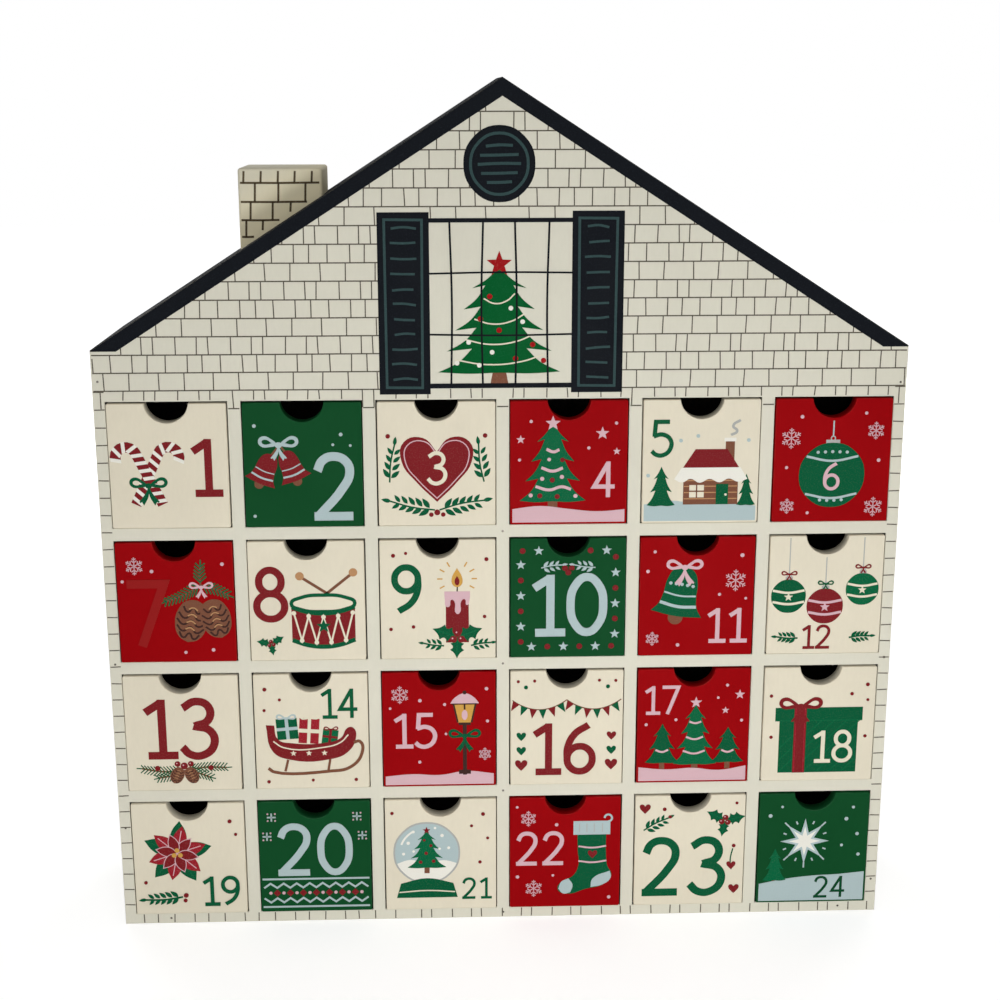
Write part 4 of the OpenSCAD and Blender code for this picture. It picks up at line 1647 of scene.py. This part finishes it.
page = Print()
number(page, "frost", "20", -16.9, -8.8, 25)
for side in (1, -1):
    page.rule("frost", 0.9, [(-24.6, BAND_Z + 7 * side), (24.6, BAND_Z + 7 * side)])
for side in (1, -1):
    zigzag = [(3 * step, BAND_Z + side * (4.8 if step % 2 else 2.6)) for step in range(-8, 9)]
    page.rule("frost", 0.9, zigzag)
for x in range(-24, 25, 6):
    if abs(x) < 24:
        page.cut("red", box(x, BAND_Z, 2.5, 2.5, 45))
    if x < 24:
        dots(page, "blush", (x + 3, BAND_Z, 0.75))
for x, z in ((-19.5, 20), (19.5, 20), (-21.8, 10.5), (21.8, 10.5)):
    page.rule("frost", 0.7, [(x - 2, z), (x + 2, z)], [(x, z - 2), (x, z + 2)])
    dots(page, "blush", *[(x + 1.7 * right, z + 1.7 * up, 0.4) for right in (-1, 1) for up in (-1, 1)])
print_drawer(20, page)

# %% Drawer 21: a snow globe
GLOBE = (-6.5, 1)

page = Print()
page.fill("frost", oval(*GLOBE, 15))
page.fill("white", [
    (-20.6, -4.4, 0), (-14, -2.4), (-6.5, -4.4), (1, -2.8), (7.6, -4.4, 0), (3.4, -10.6), (-6.5, -13.8),
    (-16.4, -10.6),
])
page.cut("brown", box(-6.5, -7.6, 2.4, 3.4))
page.fill("leaf", fir_outline(-6.5, -6.4, 18, 18.4, 4))
page.cut("red", star(-6.5, 12.2, 1.9))
dots(page, "red", (-9.4, -3.6, 0.8), (-3.4, -3.2, 0.8), (-6.8, 0.8, 0.8), (-4.6, 4.6, 0.7), (-7.6, 7.4, 0.6))
dots(page, "white", (-15, 6, 0.8), (-12.6, 11.6, 0.7), (0.6, 9.6, 0.8), (3.6, 3.4, 0.7), (-17.2, 0.6, 0.7),
     (-0.6, 3, 0.6), (-12.6, 1.8, 0.6), (-2.6, 13.4, 0.6))
page.stroke("grey", 0.8, ring(*GLOBE, 15))
page.stroke("white", 0.9, arc(*GLOBE, 12.4, 118, 160, 6))
page.fill("green", [(-18.6, -14.4, 0), (-6.5, -11.8), (5.6, -14.4, 0), (7.6, -21.6, 0), (-20.6, -21.6, 0)])
page.stroke("cream", 0.6, [(-19.4, -18.8), (-6.5, -18), (6.4, -18.8)])
number(page, "green", "21", 9.8, -22.5, 10.5)
dots(page, "red", (19.5, 20, 0.9), (14.2, 14.2, 0.7), (21.6, 8, 0.7), (18, -4, 0.8), (-22.2, 21, 0.8))
print_drawer(21, page)

# %% Drawer 22: a stocking
page = Print()
page.fill("green", [
    (5.6, 10, 0), (19, 10, 0), (19, 0), (19.6, -6.6), (21.6, -12), (17.6, -16.6), (10, -18.6), (0.6, -21),
    (-3.4, -18.6), (-1.6, -14.8), (3.6, -12), (6.2, -6.6), (5.8, 1),
])
toe = [(-3, -18.4, 0), (-1.6, -14.8), (1.6, -13.2, 0), (3.6, -16.4), (2.6, -20.3, 0), (-0.6, -20.9)]
heel = [(12, -17.8, 0), (12.8, -13.6), (20.9, -9.6, 0), (21.3, -13.2), (17.4, -16.6)]
page.fill("frost", toe, heel)
page.cut("frost", corners(3.8, 8.8, 20.8, 15.6))
page.stroke("grey", 0.45, *[[(x, 10), (x, 14.4)] for x in (6.6, 10, 13.4, 17.2)])
page.stroke("blush", 0.8, [(6.2, 3), (12.6, 2.2), (19, 3)], [(6.2, -4.4), (12.6, -5.2), (19.2, -4.4)])
page.fill("red", heart(12.7, -1.2, 0.42))
page.stroke("frost", 0.9, arc(19.8, 17, 1.7, -90, 180, 8))
number(page, "blush", "22", -22.5, -6, 16.5)
snowflakes(page, (-17, 17.2, 3.8), (-14.5, -18, 4.2))
dots(page, "blush", (-22, -12, 0.8), (-4, 14, 0.8), (-5.6, -11.5, 0.6), (-22.2, 23, 0.6), (20.6, -23, 0.8))
print_drawer(22, page)

# %% Drawer 23: holly and hearts
page = Print()
number(page, "green", "23", -21.5, -22.3, 28.5)
holly(page, 16.2, 14.8, 0.92, -8)
sprig(page, "green", -21.5, 10.4, 28, 13, 4, 0.38)
page.fill("red", heart(21.2, -20, 0.48), heart(-21, 21, 0.5))
page.stroke("green", 0.6, [(19.8, -10), (19.2, -5), (20.2, 0.6)])
page.fill("red", heart(19.6, -8, 0.42))
dots(page, "red", (20.6, 2, 0.9), (-12, 20.8, 0.9), (-9.4, 17, 0.8), (21.4, 23.4, 0.7))
print_drawer(23, page)

# %% Drawer 24: a star over the snow
BIG_STAR = (-4, 3.6)

page = Print()
rays = []
for step in range(1, 16):
    near, far = (9.2, 10.8) if step % 2 else (10.6, 13.4)
    if step not in (4, 12):
        rays.append(moved([(near, 0), (far, 0)], *BIG_STAR, 90 + 22.5 * step))
page.rule("frost", 0.7, *rays)
page.cut("frost", star(*BIG_STAR, 11.4, 8, 0.4))
page.cut("white", star(*BIG_STAR, 7.4, 8, 0.4))
page.cut("brown", box(-17.5, -17.2, 2, 3.4))
snow_ground(page, "frost", -17.8, -15.4, -14, -13.4, -12.2)
page.fill("leaf", fir_outline(-17.5, -16, 11, 16, 3))
number(page, "pine", "24", 1.4, -25.2, 10.8)
dots(page, "frost", (15, 14.6, 0.9), (20.4, 7, 0.8), (18, 20.4, 0.7), (13.4, 1.4, 0.7), (-20.4, 16.6, 0.9),
     (-15, 21, 0.6), (21.4, -3.4, 0.8))
print_drawer(24, page)

# %% [markdown]
# ## Tidying up
# The square profile of the strokes has done its work and goes.

# %% Tidy up
bpy.data.objects.remove(square_stroke)
